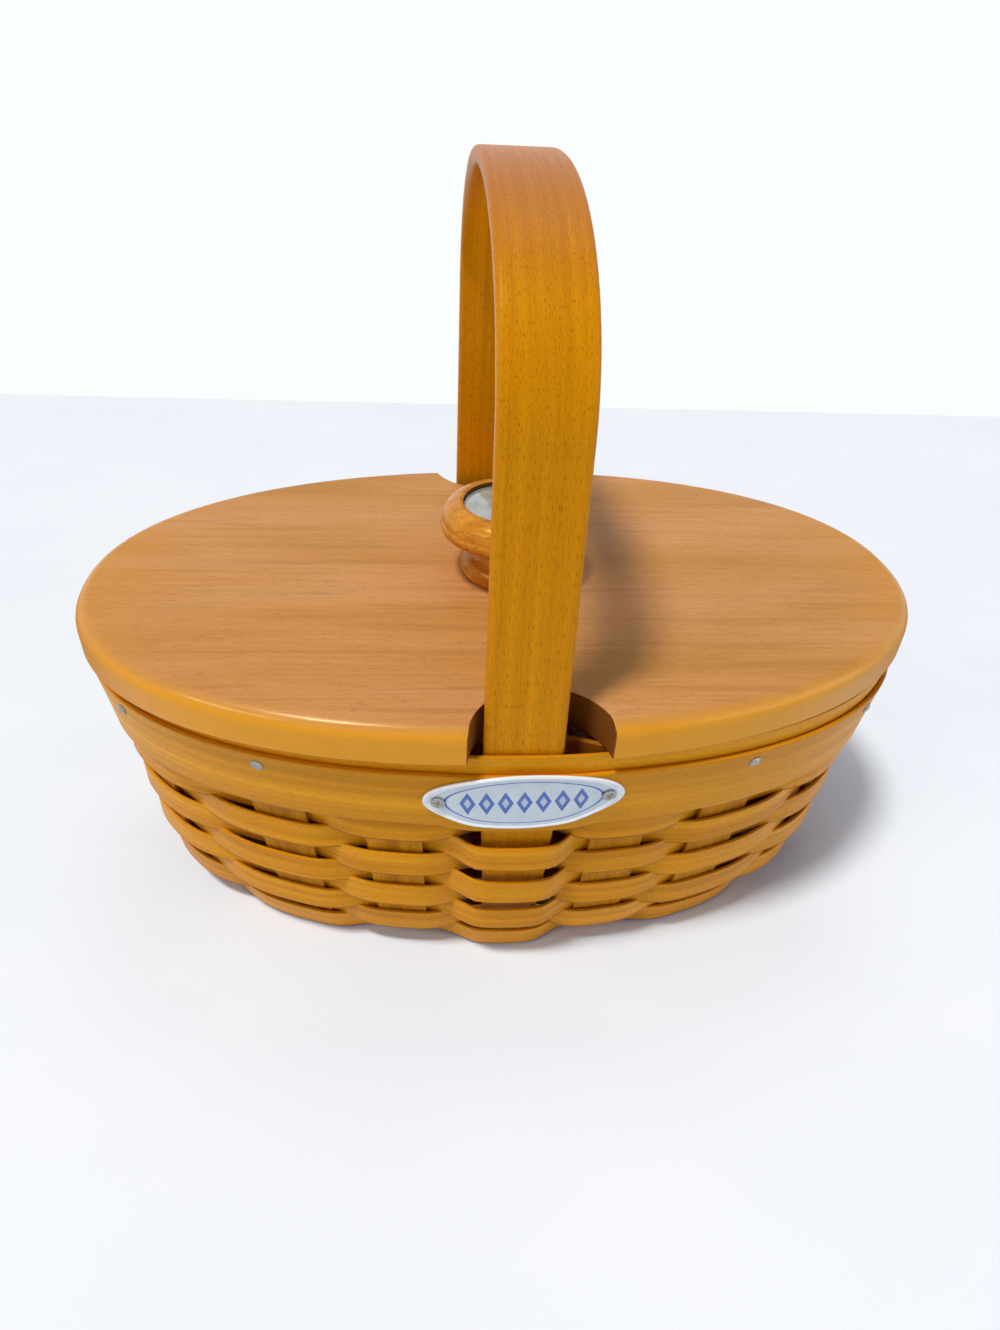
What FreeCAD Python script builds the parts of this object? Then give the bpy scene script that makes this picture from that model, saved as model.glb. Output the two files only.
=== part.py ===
# Lidded oval splint basket with a fixed arch handle.
# The basket stands on its woven base at z = 0, its long axis along X and its front towards -Y.
import FreeCAD, Part
import math
import os

from FreeCAD import Placement, Rotation, Vector

os.makedirs("parts", exist_ok=True)

# Driving dimensions, in millimetres and degrees

# Plan of the wall: an oval of this power, with half sizes taken at the middle of the uprights
plan_power = 2.2
rim_half_length = 150.1
rim_half_depth = 86.4
rim_height = 112.0
# The wall leans in on its way down, by this much at the ends and at the sides, and swells below
corner_height = 8.0
end_flare = 16.0
side_flare = 13.5
wall_swell = 2.7

# Splints of the base, which turn up into the uprights of the wall
splint_thickness = 1.3
splint_width_base = 17.5
splint_width_rim = 20.5
middle_splint_width_base = 18.5
middle_splint_width_rim = 26.0
cross_pitch_base = 36.3
cross_pitch_rim = 40.6
long_pitch_base = 34.0
long_pitch_rim = 48.5
splint_top_below_rim = 1.5
corner_radius = 2.4
# Stretch of the base in which a splint swings square to the wall that it turns up into
swing_run = 17.0
# Thin flat shaved off under the splints where the basket stands on them
foot_flat = 0.2

# Weavers of the wall, counted from the top row
weaver_rows = 8
weaver_thickness = 1.4
weaver_gap = 0.5
weaver_sway = 2.3
lowest_weaver_edge = 2.5

# Bands of the rim
band_height = 28.0
inner_band_thickness = 2.2
outer_band_thickness = 1.6
trim_band_thickness = 1.8
trim_band_height = 25.2
trim_below_rim = 7.4

# Handle: a bent strap whose legs run down inside the outer band and on under the weavers
handle_width = 25.4
handle_thickness = 5.0
handle_height = 264.4
arch_power = 2.2
arch_spring_height = 207.0
arch_half_depth = 82.5
handle_edge_radius = 1.8
leg_shoulder_height = 84.0
leg_end_height = 10.0
leg_end_width = 17.0
leg_end_thickness = 1.2
# Below this height a leg lies wholly outside the middle uprights
leg_settle_height = 50.0
# The handle stands turned on the basket: its front leg lies this far towards the right, its back
# leg as far towards the left, and the middle uprights go with them
handle_turn = 2.0

# Lid board, which reaches past the wall's middle by its overhangs, with a round notch for each
# handle leg, whose bottom lies this far behind the leg
lid_overhang_ends = 5.4
lid_overhang_sides = 6.9
lid_power = 2.15
lid_thickness = 13.7
lid_top_radius = 4.0
lid_bottom_radius = 1.5
notch_radius = 22.6
notch_behind_leg = 9.55
# How the lid lies on the rim as it was put down
lid_shift_length = 2.4
lid_shift_depth = 1.0
lid_turn = 3.2

# Knob: a turned foot, a waist and a wide cap with a recess for the insert
knob_foot_radius = 17.8
knob_foot_height = 7.4
knob_foot_edge = 1.6
knob_waist_radius = 12.4
knob_waist_height = 3.4
knob_cap_radius = 25.4
knob_cap_height = 20.0
knob_rim_width = 1.4
knob_height = 28.8
recess_radius = 17.2
recess_depth = 3.2
insert_edge_height = 1.5
insert_crown = 2.6
knob_screw_radius = 2.0
knob_screw_head_radius = 4.2
knob_screw_head_depth = 2.6
knob_screw_bite = 15.0

# Name plate, left blank, a little right of the middle in front of the front leg, and its two screws
plate_shift = 3.0
plate_width = 64.5
plate_height = 24.0
plate_thickness = 1.1
plate_screw_spacing = 56.5
plate_screw_radius = 1.1
plate_screw_length = 4.6
plate_screw_head_radius = 2.4
plate_screw_head_height = 0.9

# Tacks through the bands
tack_radius = 0.8
tack_length = 4.8
tack_head_radius = 2.1
tack_head_height = 0.9
tack_height = 99.5

# Clearances: between pieces that lie on each other, round a shank, round the insert
fit_gap = 0.15
seat_gap = 0.1
shank_gap = 0.05
insert_gap = 0.3
# How wide a band stays pushed out at a handle leg, where it is back in line, and the extra
# room that a band takes over the leg's flat face, and a weaver over the leg and behind the upright
leg_push_flat = 13.5
leg_push_end = 30.0
band_over_leg = 0.3
weaver_over_leg = 0.4
weaver_behind_leg = 0.6

# How flat the crests of the weave are, in the wall and in the base
wall_crest = 1.15
base_crest = 1.6

# Points from one upright to the next, and stations along a splint and along the handle
points_per_bay = 6
stations_per_wall = 8
levels_per_band = 4
stations_per_bend = 5
stations_per_pitch = 8
stations_per_swing = 4
points_per_leg = 8
points_to_arch = 3
points_per_arch = 11

# Worked-out values
splint_half = splint_thickness / 2
leg_skew = math.tan(math.radians(handle_turn))
base_step = splint_half + fit_gap / 2
base_middle = 2 * splint_half + fit_gap / 2
trim_top = rim_height - trim_below_rim
trim_bottom = trim_top - trim_band_height
weaver_pitch = (trim_bottom - fit_gap - lowest_weaver_edge) / weaver_rows
lid_underside = rim_height + seat_gap
lid_half_length = rim_half_length + lid_overhang_ends
lid_half_depth = rim_half_depth + lid_overhang_sides
notch_middle = rim_half_depth + splint_half - handle_thickness - notch_behind_leg + notch_radius
columns = 16
back_middle = 8
beyond = 400.0


def fall(z):
    """Share of the way down from the rim to the bottom corner."""
    return (rim_height - z) / (rim_height - corner_height)


def swell(z):
    """Outward swell of the wall at a height, largest three quarters of the way down."""
    t = fall(z)
    return wall_swell * t ** 3 * (1 - t) * 256 / 27


def half_length(z):
    return rim_half_length - end_flare * fall(z) + swell(z)


def half_depth(z):
    return rim_half_depth - side_flare * fall(z) + swell(z)


def clamp(value, low, high):
    return min(max(value, low), high)


def oval_point(a, b, turn, power):
    """Point and outward normal of an oval at a turn angle in radians."""
    c = math.cos(turn)
    s = math.sin(turn)
    x = math.copysign(abs(c) ** (2 / power), c) * a
    y = math.copysign(abs(s) ** (2 / power), s) * b
    nx = math.copysign((abs(x) / a) ** (power - 1), x) / a
    ny = math.copysign((abs(y) / b) ** (power - 1), y) / b
    size = math.hypot(nx, ny)
    return x, y, nx / size, ny / size


def wall_point(turn, z, offset):
    """Point of the wall at a turn angle and a height, moved outwards by the offset."""
    x, y, nx, ny = oval_point(half_length(z), half_depth(z), turn, plan_power)
    return Vector(x + nx * offset, y + ny * offset, z)


def cross_place(k, z):
    """Place along X of cross splint k at a height."""
    return k * (cross_pitch_base + (cross_pitch_rim - cross_pitch_base) * z / rim_height)


def long_place(j, z):
    """Place along Y of long splint j at a height."""
    return j * (long_pitch_base + (long_pitch_rim - long_pitch_base) * z / rim_height)


def column_turns(z):
    """Turn angles of the uprights at a height, from the front middle round to the right."""
    a = half_length(z)
    b = half_depth(z)
    front = [-math.acos((cross_place(k, z) / a) ** (plan_power / 2)) for k in (1, 2)]
    front += [-math.asin((long_place(j, z) / b) ** (plan_power / 2)) for j in (1, 0)]
    right = front + [-turn for turn in reversed(front[:-1])]
    leg = math.acos((b * leg_skew / a) ** (plan_power / 2))
    return [-leg] + right + [math.pi - leg] + [math.pi - turn for turn in reversed(right)]


def from_leg(here):
    """Distance along X of a point from the handle's middle line."""
    return here.x + here.y * leg_skew


def leg_share(z):
    """0 at the end of a handle leg, 1 from the rim upwards."""
    return clamp((z - leg_end_height) / (rim_height - leg_end_height), 0.0, 1.0)


def leg_thickness(z):
    return leg_end_thickness + (handle_thickness - leg_end_thickness) * leg_share(z)


def leg_stand_out(z):
    """How far a leg's outer face stands out from the outer faces of the uprights."""
    t = clamp((rim_height - z) / (rim_height - leg_settle_height), 0.0, 1.0)
    return (leg_thickness(z) + fit_gap) * t * t * (3 - 2 * t)


def leg_push_in(z):
    """How far a leg pushes the middle upright inwards."""
    return leg_thickness(z) + fit_gap - leg_stand_out(z)


def window(x, flat, end):
    """1 beside a handle leg, falling smoothly to 0 past it."""
    t = clamp((abs(x) - flat) / (end - flat), 0.0, 1.0)
    return 0.5 + 0.5 * math.cos(math.pi * t)


def crest(u, sharpness):
    """1 at an even count and -1 at an odd one, with flat crests."""
    return math.sin(math.pi / 2 * clamp(sharpness * math.cos(math.pi * u), -1.0, 1.0))


def ring_wire(z, offset):
    """Closed curve round the wall; offset(x, u) gives its distance outwards at upright u,

    where x is counted from the handle's middle line.
    """
    turns = column_turns(z)
    turns.append(turns[0] + 2 * math.pi)
    points = []
    for column in range(columns):
        for step in range(points_per_bay):
            share = step / points_per_bay
            turn = turns[column] + (turns[column + 1] - turns[column]) * share
            across = from_leg(wall_point(turn, z, 0.0))
            points.append(wall_point(turn, z, offset(across, column + share)))
    curve = Part.BSplineCurve()
    curve.interpolate(Points=points, PeriodicFlag=True)
    return Part.Wire(curve.toShape())


def ring_solid(heights, middle, thickness):
    """Ring through some heights; middle(z, x, u) is the offset of its mid surface."""

    def block(extra):
        wires = [ring_wire(z, lambda x, u, z=z: middle(z, x, u) + extra) for z in heights]
        return Part.makeLoft(wires, True, True)

    return block(thickness / 2).cut(block(-thickness / 2))


def levels(low, high, count):
    return [low + (high - low) * i / count for i in range(count + 1)]


def weaver(row):
    """One weaver: it goes outside every second upright and inside the others."""
    high = trim_bottom - fit_gap - row * weaver_pitch
    low = high - weaver_pitch + weaver_gap
    side = 1 if row % 2 else -1

    def middle(z, x, u):
        beside_leg = window(x, leg_push_flat, cross_place(1, z) / 2)
        wave = side * weaver_sway * crest(u, wall_crest)
        if side > 0:
            return wave + beside_leg * (leg_stand_out(z) + weaver_over_leg)
        return wave - beside_leg * (leg_push_in(z) + weaver_behind_leg)

    return ring_solid([low, high], middle, weaver_thickness)


def band_offset(z, x, start):
    """Offset of a surface this far outside the uprights, pushed out over the handle legs."""
    return start + window(x, leg_push_flat, leg_push_end) * (leg_stand_out(z) + band_over_leg)


outer_band_inside = splint_half + fit_gap
trim_band_inside = outer_band_inside + outer_band_thickness + fit_gap
trim_band_outside = trim_band_inside + trim_band_thickness


def band_levels():
    return levels(rim_height - band_height, rim_height, levels_per_band)


def inner_band():
    depth = splint_half + fit_gap + inner_band_thickness / 2

    def middle(z, x, u):
        return -depth - window(x, leg_push_flat, leg_push_end) * leg_push_in(z)

    return ring_solid(band_levels(), middle, inner_band_thickness)


def outer_band():
    def middle(z, x, u):
        return band_offset(z, x, outer_band_inside + outer_band_thickness / 2)

    return ring_solid(band_levels(), middle, outer_band_thickness)


def trim_band():
    def middle(z, x, u):
        return band_offset(z, x, trim_band_inside + trim_band_thickness / 2)

    return ring_solid(levels(trim_bottom, trim_top, levels_per_band), middle, trim_band_thickness)


def turn_along(turn, z, distance):
    """Turn angle of the wall point at a straight distance round from the one at this turn."""
    start = wall_point(turn, z, 0.0)
    low = 0.0
    high = math.copysign(1.0, distance)
    for step in range(40):
        guess = (low + high) / 2
        if (wall_point(turn + guess, z, 0.0) - start).Length < abs(distance):
            low = guess
        else:
            high = guess
    return turn + low


def wall_station(column, z, width, push):
    """Outer and inner points across an upright at a height."""
    turn = column_turns(z)[column]
    turns = [turn_along(turn, z, side * width / 2) if side else turn for side in (-1, 0, 1)]
    outer = [wall_point(t, z, splint_half - push) for t in turns]
    inner = [wall_point(t, z, -splint_half - push) for t in turns]
    return outer, inner


def flat_station(centre, across, inward, width):
    """Outer and inner points across a splint where it lies flat or bends."""
    spots = [centre + across * (side * width / 2) for side in (-1, 0, 1)]
    outer = [spot - inward * splint_half for spot in spots]
    inner = [spot + inward * splint_half for spot in spots]
    return outer, inner


def half_splint(column, start, run, crossings, pitch, rise, width_base, width_rim):
    """Stations of half a splint, from the middle of the base to the rim.

    It leaves the start along run, passes the splints that cross it, a pitch apart and as many
    as crossings on each side, and rise says whether it lies over or under the first.
    """
    up = Vector(0, 0, 1)
    turn = column_turns(base_middle)[column]
    knee = wall_point(turn, base_middle, 0.0)
    above = wall_point(turn, base_middle + corner_radius, 0.0)
    outwards = (wall_point(turn, base_middle, 1.0) - knee).normalize()
    lean = (above - knee).dot(outwards) / corner_radius
    bend = math.pi / 2 - math.atan(lean)
    tangent = corner_radius * math.tan(bend / 2)
    bend_start = knee - outwards * tangent
    bend_centre = bend_start + up * corner_radius
    run_across = Vector(-run.y, run.x, 0)
    wall_across = Vector(-outwards.y, outwards.x, 0)
    swing = math.atan2(run_across.cross(wall_across).z, run_across.dot(wall_across))
    reach = (knee - start).dot(run) - swing_run

    stations = []
    wave_end = min((crossings + 0.5) * pitch, reach)
    count = round(stations_per_pitch * wave_end / pitch)
    for step in range(count + 1):
        along = wave_end * step / count
        height = base_middle + rise * base_step * crest(along / pitch, base_crest)
        centre = start + run * along + up * height
        stations.append(flat_station(centre, run_across, up, width_base))
    if reach - wave_end > swing_run / stations_per_swing:
        stations.append(flat_station(start + run * reach + up * base_middle, run_across, up, width_base))
    swing_start = start + run * max(reach, wave_end) + up * base_middle
    for step in range(1, stations_per_swing):
        share = step / stations_per_swing
        angle = swing * share
        across = run_across * math.cos(angle) + run * (-math.sin(angle))
        centre = swing_start + (bend_start - swing_start) * share
        stations.append(flat_station(centre, across, up, width_base))

    for step in range(stations_per_bend):
        angle = bend * step / stations_per_bend
        inward = up * math.cos(angle) - outwards * math.sin(angle)
        centre = bend_centre - inward * corner_radius
        stations.append(flat_station(centre, wall_across, inward, width_base))

    low = base_middle + tangent * math.sin(bend)
    high = rim_height - splint_top_below_rim
    on_leg = column % back_middle == 0
    for z in levels(low, high, stations_per_wall):
        width = width_base + (width_rim - width_base) * z / rim_height
        push = leg_push_in(z) if on_leg else 0.0
        stations.append(wall_station(column, z, width, push))
    return stations


def station_wire(station):
    outer, inner = station

    def curve(points):
        spline = Part.BSplineCurve()
        spline.interpolate(Points=points)
        return spline.toShape()

    edges = [curve(outer), Part.makeLine(outer[2], inner[2])]
    edges += [curve(inner[::-1]), Part.makeLine(inner[0], outer[0])]
    return Part.Wire(edges)


def whole_splint(first, second):
    """Solid through the stations of both halves, which meet in the middle of the base."""
    turned = [(outer[::-1], inner[::-1]) for outer, inner in reversed(second)]
    wires = [station_wire(station) for station in turned[:-1] + first]
    solid = Part.makeLoft(wires, True, True)
    shaving = Part.makeBox(2 * beyond, 2 * beyond, foot_flat, Vector(-beyond, -beyond, 0))
    return solid.cut(shaving)


def cross_splint(k):
    """Splint that runs from front to back, at place k along the basket."""
    start = Vector(cross_place(k, 0), 0, 0)
    wide = middle_splint_width_base if k == 0 else splint_width_base
    wide_rim = middle_splint_width_rim if k == 0 else splint_width_rim
    rise = 1 if k % 2 else -1
    shape = (1, long_pitch_base, rise, wide, wide_rim)
    forwards = Vector(0 if k else leg_skew, -1, 0).normalize()
    front = half_splint(k % columns, start, forwards, *shape)
    back = half_splint(back_middle - k, start, -forwards, *shape)
    return whole_splint(front, back)


def long_splint(j):
    """Splint that runs from end to end, at place j across the basket."""
    start = Vector(0, long_place(j, 0), 0)
    rise = -1 if j % 2 else 1
    shape = (2, cross_pitch_base, rise, splint_width_base, splint_width_rim)
    right = half_splint(back_middle // 2 + j, start, Vector(1, 0, 0), *shape)
    left = half_splint(columns - back_middle // 2 - j, start, Vector(-1, 0, 0), *shape)
    return whole_splint(right, left)


def handle_half():
    """Points of the handle's outer face from a leg's end to the top, with the thickness there."""
    points = []
    for z in levels(leg_end_height, rim_height, points_per_leg):
        points.append((half_depth(z) + splint_half + leg_stand_out(z), z))
    rim_y = points[-1][0]
    for z in levels(rim_height, arch_spring_height, points_to_arch)[1:]:
        share = (z - rim_height) / (arch_spring_height - rim_height)
        points.append((rim_y + (arch_half_depth - rim_y) * share, z))
    rise = handle_height - arch_spring_height
    for step in range(1, points_per_arch + 1):
        turn = math.pi / 2 * step / points_per_arch
        y = arch_half_depth * abs(math.cos(turn)) ** (2 / arch_power)
        points.append((y, arch_spring_height + rise * math.sin(turn) ** (2 / arch_power)))
    points[-1] = (0.0, handle_height)
    return points


def skewed(x, y, z):
    """Point that is moved sideways with the turned handle."""
    return Vector(x - y * leg_skew, y, z)


def handle_solid():
    half = handle_half()
    square = [Vector(0, -y, z) for y, z in half] + [Vector(0, y, z) for y, z in reversed(half[:-1])]
    spline = Part.BSplineCurve()
    spline.interpolate(Points=square)
    outer = []
    inner = []
    for spot in square:
        along = spline.tangent(spline.parameter(spot))[0]
        hollow = spot + Vector(0, along.z, -along.y) * leg_thickness(spot.z)
        outer.append(skewed(-handle_width / 2, spot.y, spot.z))
        inner.append(skewed(-handle_width / 2, hollow.y, hollow.z))
    edges = []
    for points in (outer, inner[::-1]):
        spline = Part.BSplineCurve()
        spline.interpolate(Points=points)
        edges.append(spline.toShape())
    edges.insert(1, Part.makeLine(outer[-1], inner[-1]))
    edges.append(Part.makeLine(inner[0], outer[0]))
    strap = Part.Face(Part.Wire(edges)).extrude(Vector(handle_width, 0, 0))

    # The part above the outer band's middle gets rounded edges, the legs below stay square
    split = trim_top
    upper_room = Part.makeBox(beyond, beyond, beyond, Vector(-beyond / 2, -beyond / 2, split))
    arch = strap.common(upper_room).Solids[0]
    long_edges = [e for e in arch.Edges if e.BoundBox.ZMax > arch_spring_height]
    arch = arch.makeFillet(handle_edge_radius, long_edges)

    legs = strap.cut(upper_room)
    wide = handle_width / 2
    narrow = leg_end_width / 2
    front = -beyond / 2
    outline = [skewed(-wide, front, split), skewed(-wide, front, leg_shoulder_height)]
    outline += [skewed(-narrow, front, 0), skewed(narrow, front, 0)]
    outline += [skewed(wide, front, leg_shoulder_height), skewed(wide, front, split)]
    taper = Part.Face(Part.makePolygon(outline + [outline[0]])).extrude(skewed(0, beyond, 0))
    return arch.fuse(legs.common(taper)).removeSplitter()


def lid_place():
    spin = Rotation(Vector(0, 0, 1), lid_turn)
    return Placement(Vector(lid_shift_length, lid_shift_depth, lid_underside), spin)


def lid_board():
    points = []
    count = columns * points_per_bay
    for step in range(count):
        x, y, nx, ny = oval_point(lid_half_length, lid_half_depth, 2 * math.pi * step / count, lid_power)
        points.append(Vector(x, y, 0))
    curve = Part.BSplineCurve()
    curve.interpolate(Points=points, PeriodicFlag=True)
    board = Part.Face(Part.Wire(curve.toShape())).extrude(Vector(0, 0, lid_thickness))
    top_edge = [e for e in board.Edges if e.BoundBox.ZMin > lid_thickness / 2]
    board = board.makeFillet(lid_top_radius, top_edge)
    bottom_edge = [e for e in board.Edges if e.BoundBox.ZMax < lid_bottom_radius]
    board = board.makeFillet(lid_bottom_radius, bottom_edge)
    for side in (-1, 1):
        notch = Part.makeCylinder(notch_radius, lid_thickness, Vector(0, side * notch_middle, 0))
        board = board.cut(notch)
    bore = Part.makeCylinder(knob_screw_radius + shank_gap, lid_thickness)
    sink = Part.makeCone(
        knob_screw_head_radius + shank_gap, knob_screw_radius + shank_gap, knob_screw_head_depth
    )
    return board.cut(bore.fuse(sink))


def revolved(outline):
    """Solid turned from a closed outline of edges in the XZ plane."""
    face = Part.Face(Part.Wire(outline))
    return face.revolve(Vector(0, 0, 0), Vector(0, 0, 1), 360)


def spot(radius, height):
    return Vector(radius, 0, height)


def arc(first, through, last):
    return Part.Arc(spot(*first), spot(*through), spot(*last)).toShape()


def line(first, last):
    return Part.makeLine(spot(*first), spot(*last))


def ball_radius(radius, crown):
    """Radius of the ball whose cap has this radius and this crown."""
    return (radius ** 2 + crown ** 2) / (2 * crown)


def knob():
    foot_bottom = (knob_foot_radius - knob_foot_edge, 0)
    foot_side = (knob_foot_radius, knob_foot_height / 2)
    foot_top = (knob_foot_radius - 2 * knob_foot_edge, knob_foot_height)
    waist = (knob_waist_radius, knob_foot_height + knob_waist_height)
    cove_top = (foot_top[0], knob_foot_height + 2 * knob_waist_height)
    edge_drop = (knob_cap_height - cove_top[1]) / 3
    under_edge = (knob_cap_radius - edge_drop / 3, knob_cap_height - edge_drop)
    under_middle = ((cove_top[0] + under_edge[0]) / 2, cove_top[1] + edge_drop / 2)
    cap_edge = (knob_cap_radius, knob_cap_height)
    over_edge = (under_edge[0], knob_cap_height + edge_drop)
    rim_outside = (recess_radius + knob_rim_width, knob_height)
    shoulder_bow = (knob_height - over_edge[1]) / 4
    shoulder = (
        (over_edge[0] + rim_outside[0]) / 2 + shoulder_bow / 2,
        (over_edge[1] + rim_outside[1]) / 2 + shoulder_bow,
    )
    rim_inside = (recess_radius, knob_height)
    floor_edge = (recess_radius, knob_height - recess_depth)
    floor_middle = (0, knob_height - recess_depth)
    outline = [
        line((0, 0), foot_bottom),
        arc(foot_bottom, foot_side, foot_top),
        arc(foot_top, waist, cove_top),
        arc(cove_top, under_middle, under_edge),
        arc(under_edge, cap_edge, over_edge),
        arc(over_edge, shoulder, rim_outside),
        line(rim_outside, rim_inside),
        line(rim_inside, floor_edge),
        line(floor_edge, floor_middle),
        line(floor_middle, (0, 0)),
    ]
    bore = Part.makeCylinder(knob_screw_radius + shank_gap, knob_screw_bite + shank_gap)
    return revolved(outline).cut(bore)


def knob_insert():
    """Disc with a domed top."""
    radius = recess_radius - insert_gap
    bottom = knob_height - recess_depth + seat_gap
    height = insert_edge_height + insert_crown
    disc = Part.makeCylinder(radius, height, spot(0, bottom))
    ball = ball_radius(radius, insert_crown)
    return disc.common(Part.makeSphere(ball, spot(0, bottom + height - ball)))


def knob_screw():
    """Countersunk screw from under the lid up into the knob."""
    head = Part.makeCone(knob_screw_head_radius, knob_screw_radius, knob_screw_head_depth)
    shank = Part.makeCylinder(knob_screw_radius, lid_thickness + knob_screw_bite)
    return head.fuse(shank).removeSplitter()


def trim_frame(turn, z, extra):
    """Point and square-out direction on the outside of the trim band."""

    def face_point(turn, z):
        across = from_leg(wall_point(turn, z, 0.0))
        return wall_point(turn, z, band_offset(z, across, trim_band_outside + extra))

    here = face_point(turn, z)
    round_step = face_point(turn + 0.01, z) - face_point(turn - 0.01, z)
    rise_step = face_point(turn, z + 0.5) - face_point(turn, z - 0.5)
    return here, round_step.cross(rise_step).normalize()


def domed_pin(here, out, head_radius, head_height, radius, length):
    """Pin with a domed head whose underside lies at this point, and its shank inwards."""
    dome = ball_radius(head_radius, head_height)
    ball = Part.makeSphere(dome, here + out * (head_height - dome), out)
    head = Part.makeCylinder(head_radius, head_height, here, out)
    shank = Part.makeCylinder(radius, length, here - out * length, out)
    return ball.common(head).fuse(shank).removeSplitter()


def shank_hole(here, out, radius, length):
    deep = length + 2 * shank_gap
    return Part.makeCylinder(radius + shank_gap, 2 * deep, here - out * deep, out)


def tack_columns():
    """Uprights that are tacked: all but the front middle and the two beside each leg."""
    beside = (1, columns - 1, back_middle - 1, back_middle + 1)
    return [column for column in range(1, columns) if column not in beside]


def tacks():
    """All the tacks, and the holes that they make."""
    pins = []
    holes = []
    for column in tack_columns():
        here, out = trim_frame(column_turns(tack_height)[column], tack_height, seat_gap)
        pins.append(domed_pin(here, out, tack_head_radius, tack_head_height, tack_radius, tack_length))
        holes.append(shank_hole(here, out, tack_radius, tack_length))
    return pins, holes


def plate_middle_height():
    return (trim_top + trim_bottom) / 2


def name_plate():
    """Oval plate bent to the front of the trim band."""
    margin = (trim_band_height - plate_height) / 2
    heights = levels(trim_bottom + margin, trim_top - margin, levels_per_band)

    def middle(z, x, u):
        return band_offset(z, x, trim_band_outside + seat_gap + plate_thickness / 2)

    sheet = ring_solid(heights, middle, plate_thickness)
    z = plate_middle_height()
    centre = Vector(plate_shift, -beyond / 2, z)
    major = centre + Vector(plate_width / 2, 0, 0)
    minor = centre + Vector(0, 0, plate_height / 2)
    oval = Part.Face(Part.Wire(Part.Ellipse(major, minor, centre).toShape()))
    return sheet.common(oval.extrude(Vector(0, beyond / 2, 0)))


def plate_screws():
    """The two screws of the plate, and the holes that they need."""
    z = plate_middle_height()
    pins = []
    holes = []
    for side in (-1, 1):
        turn = turn_along(column_turns(z)[0], z, side * plate_screw_spacing / 2)
        here, out = trim_frame(turn, z, 2 * seat_gap + plate_thickness)
        head = (plate_screw_head_radius, plate_screw_head_height)
        length = plate_thickness + plate_screw_length
        pins.append(domed_pin(here, out, *head, plate_screw_radius, length))
        holes.append(shank_hole(here, out, plate_screw_radius, length))
    return pins, holes


def drilled(shape, holes):
    """The shape with every hole that reaches it."""
    near = [hole for hole in holes if shape.BoundBox.intersect(hole.BoundBox)]
    return shape.cut(near) if near else shape


def save(name, shape):
    solids = shape.Solids
    kept = solids[0] if len(solids) == 1 else Part.makeCompound(solids)
    kept.exportStep(os.path.join("parts", name + ".step"))
    box = kept.BoundBox
    print(name, len(solids), "solid(s)", round(kept.Volume), "mm3", kept.isValid(),
          "x", round(box.XMin, 1), round(box.XMax, 1), "y", round(box.YMin, 1), round(box.YMax, 1),
          "z", round(box.ZMin, 2), round(box.ZMax, 2))


tack_pins, tack_holes = tacks()
screw_pins, screw_holes = plate_screws()
band_holes = tack_holes + screw_holes

for k in range(-2, 3):
    save("cross_splint_" + str(k + 3), drilled(cross_splint(k), band_holes))
for j in range(-1, 2):
    save("long_splint_" + str(j + 2), drilled(long_splint(j), tack_holes))
for row in range(weaver_rows):
    save("weaver_row_" + str(row + 1), weaver(row))
save("inner_band", inner_band())
save("outer_band", drilled(outer_band(), band_holes))
save("trim_band", drilled(trim_band(), band_holes))
save("handle", drilled(handle_solid(), tack_holes))
save("rim_tacks", Part.makeCompound(tack_pins))
save("name_plate", drilled(name_plate(), screw_holes))
save("plate_screws", Part.makeCompound(screw_pins))

board = lid_board()
board.Placement = lid_place()
save("lid_board", board)
knob_lift = Placement(Vector(0, 0, lid_thickness), Rotation())
for name, shape, lift in (("knob", knob(), knob_lift), ("knob_insert", knob_insert(), knob_lift),
                          ("knob_screw", knob_screw(), Placement())):
    shape.Placement = lid_place().multiply(lift)
    save(name, shape)
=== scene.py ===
# %% [markdown]
# # A lidded oval splint basket
# A basket woven of thin wooden splints, with bands round its rim, an arch handle and a notched lid
# with a turned knob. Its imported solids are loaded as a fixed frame, and each piece is then made again,
# finished, in the place of the solid that it stands for: that keeps the sizes and the motion of the
# solids, and gives every piece its own edges and grain. Sizes are real ones in millimetres, and go to
# metres only where points are set.

import functools
import math
import random

import bmesh
import bpy
from mathutils import Matrix, Vector


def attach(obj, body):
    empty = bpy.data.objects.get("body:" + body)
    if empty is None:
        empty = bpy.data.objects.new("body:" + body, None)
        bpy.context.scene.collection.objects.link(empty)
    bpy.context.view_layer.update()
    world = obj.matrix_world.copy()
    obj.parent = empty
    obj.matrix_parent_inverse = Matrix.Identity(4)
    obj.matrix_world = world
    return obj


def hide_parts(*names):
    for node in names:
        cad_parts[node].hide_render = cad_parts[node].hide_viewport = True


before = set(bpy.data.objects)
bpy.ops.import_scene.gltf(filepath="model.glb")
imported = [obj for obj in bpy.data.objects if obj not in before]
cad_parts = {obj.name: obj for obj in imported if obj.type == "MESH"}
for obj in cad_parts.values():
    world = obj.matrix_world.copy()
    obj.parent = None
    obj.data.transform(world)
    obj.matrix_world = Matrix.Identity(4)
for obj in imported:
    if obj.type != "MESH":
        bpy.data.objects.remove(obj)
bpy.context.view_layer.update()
MM = 0.001

# %% [markdown]
# ## The wall
# The wall is an oval, a little squarer than an ellipse, that leans in towards the base and swells low
# down. It could be modelled as a tube, with the strips laid on it by eye. Here it stays a formula: a
# turn angle, a height and an offset give a point, and every strip of wood asks it where to lie, so
# that neighbouring strips always fit each other.

# %% Outline of the wall
plan_power = 2.2
rim_half_length = 150.1
rim_half_depth = 86.4
rim_height = 112.0
corner_height = 8.0
end_flare = 16.0
side_flare = 13.5
wall_swell = 2.7


def clamp(value, low, high):
    return min(max(value, low), high)


def fall(z):
    """Share of the way down from the rim to the bottom corner."""
    return (rim_height - z) / (rim_height - corner_height)


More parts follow.
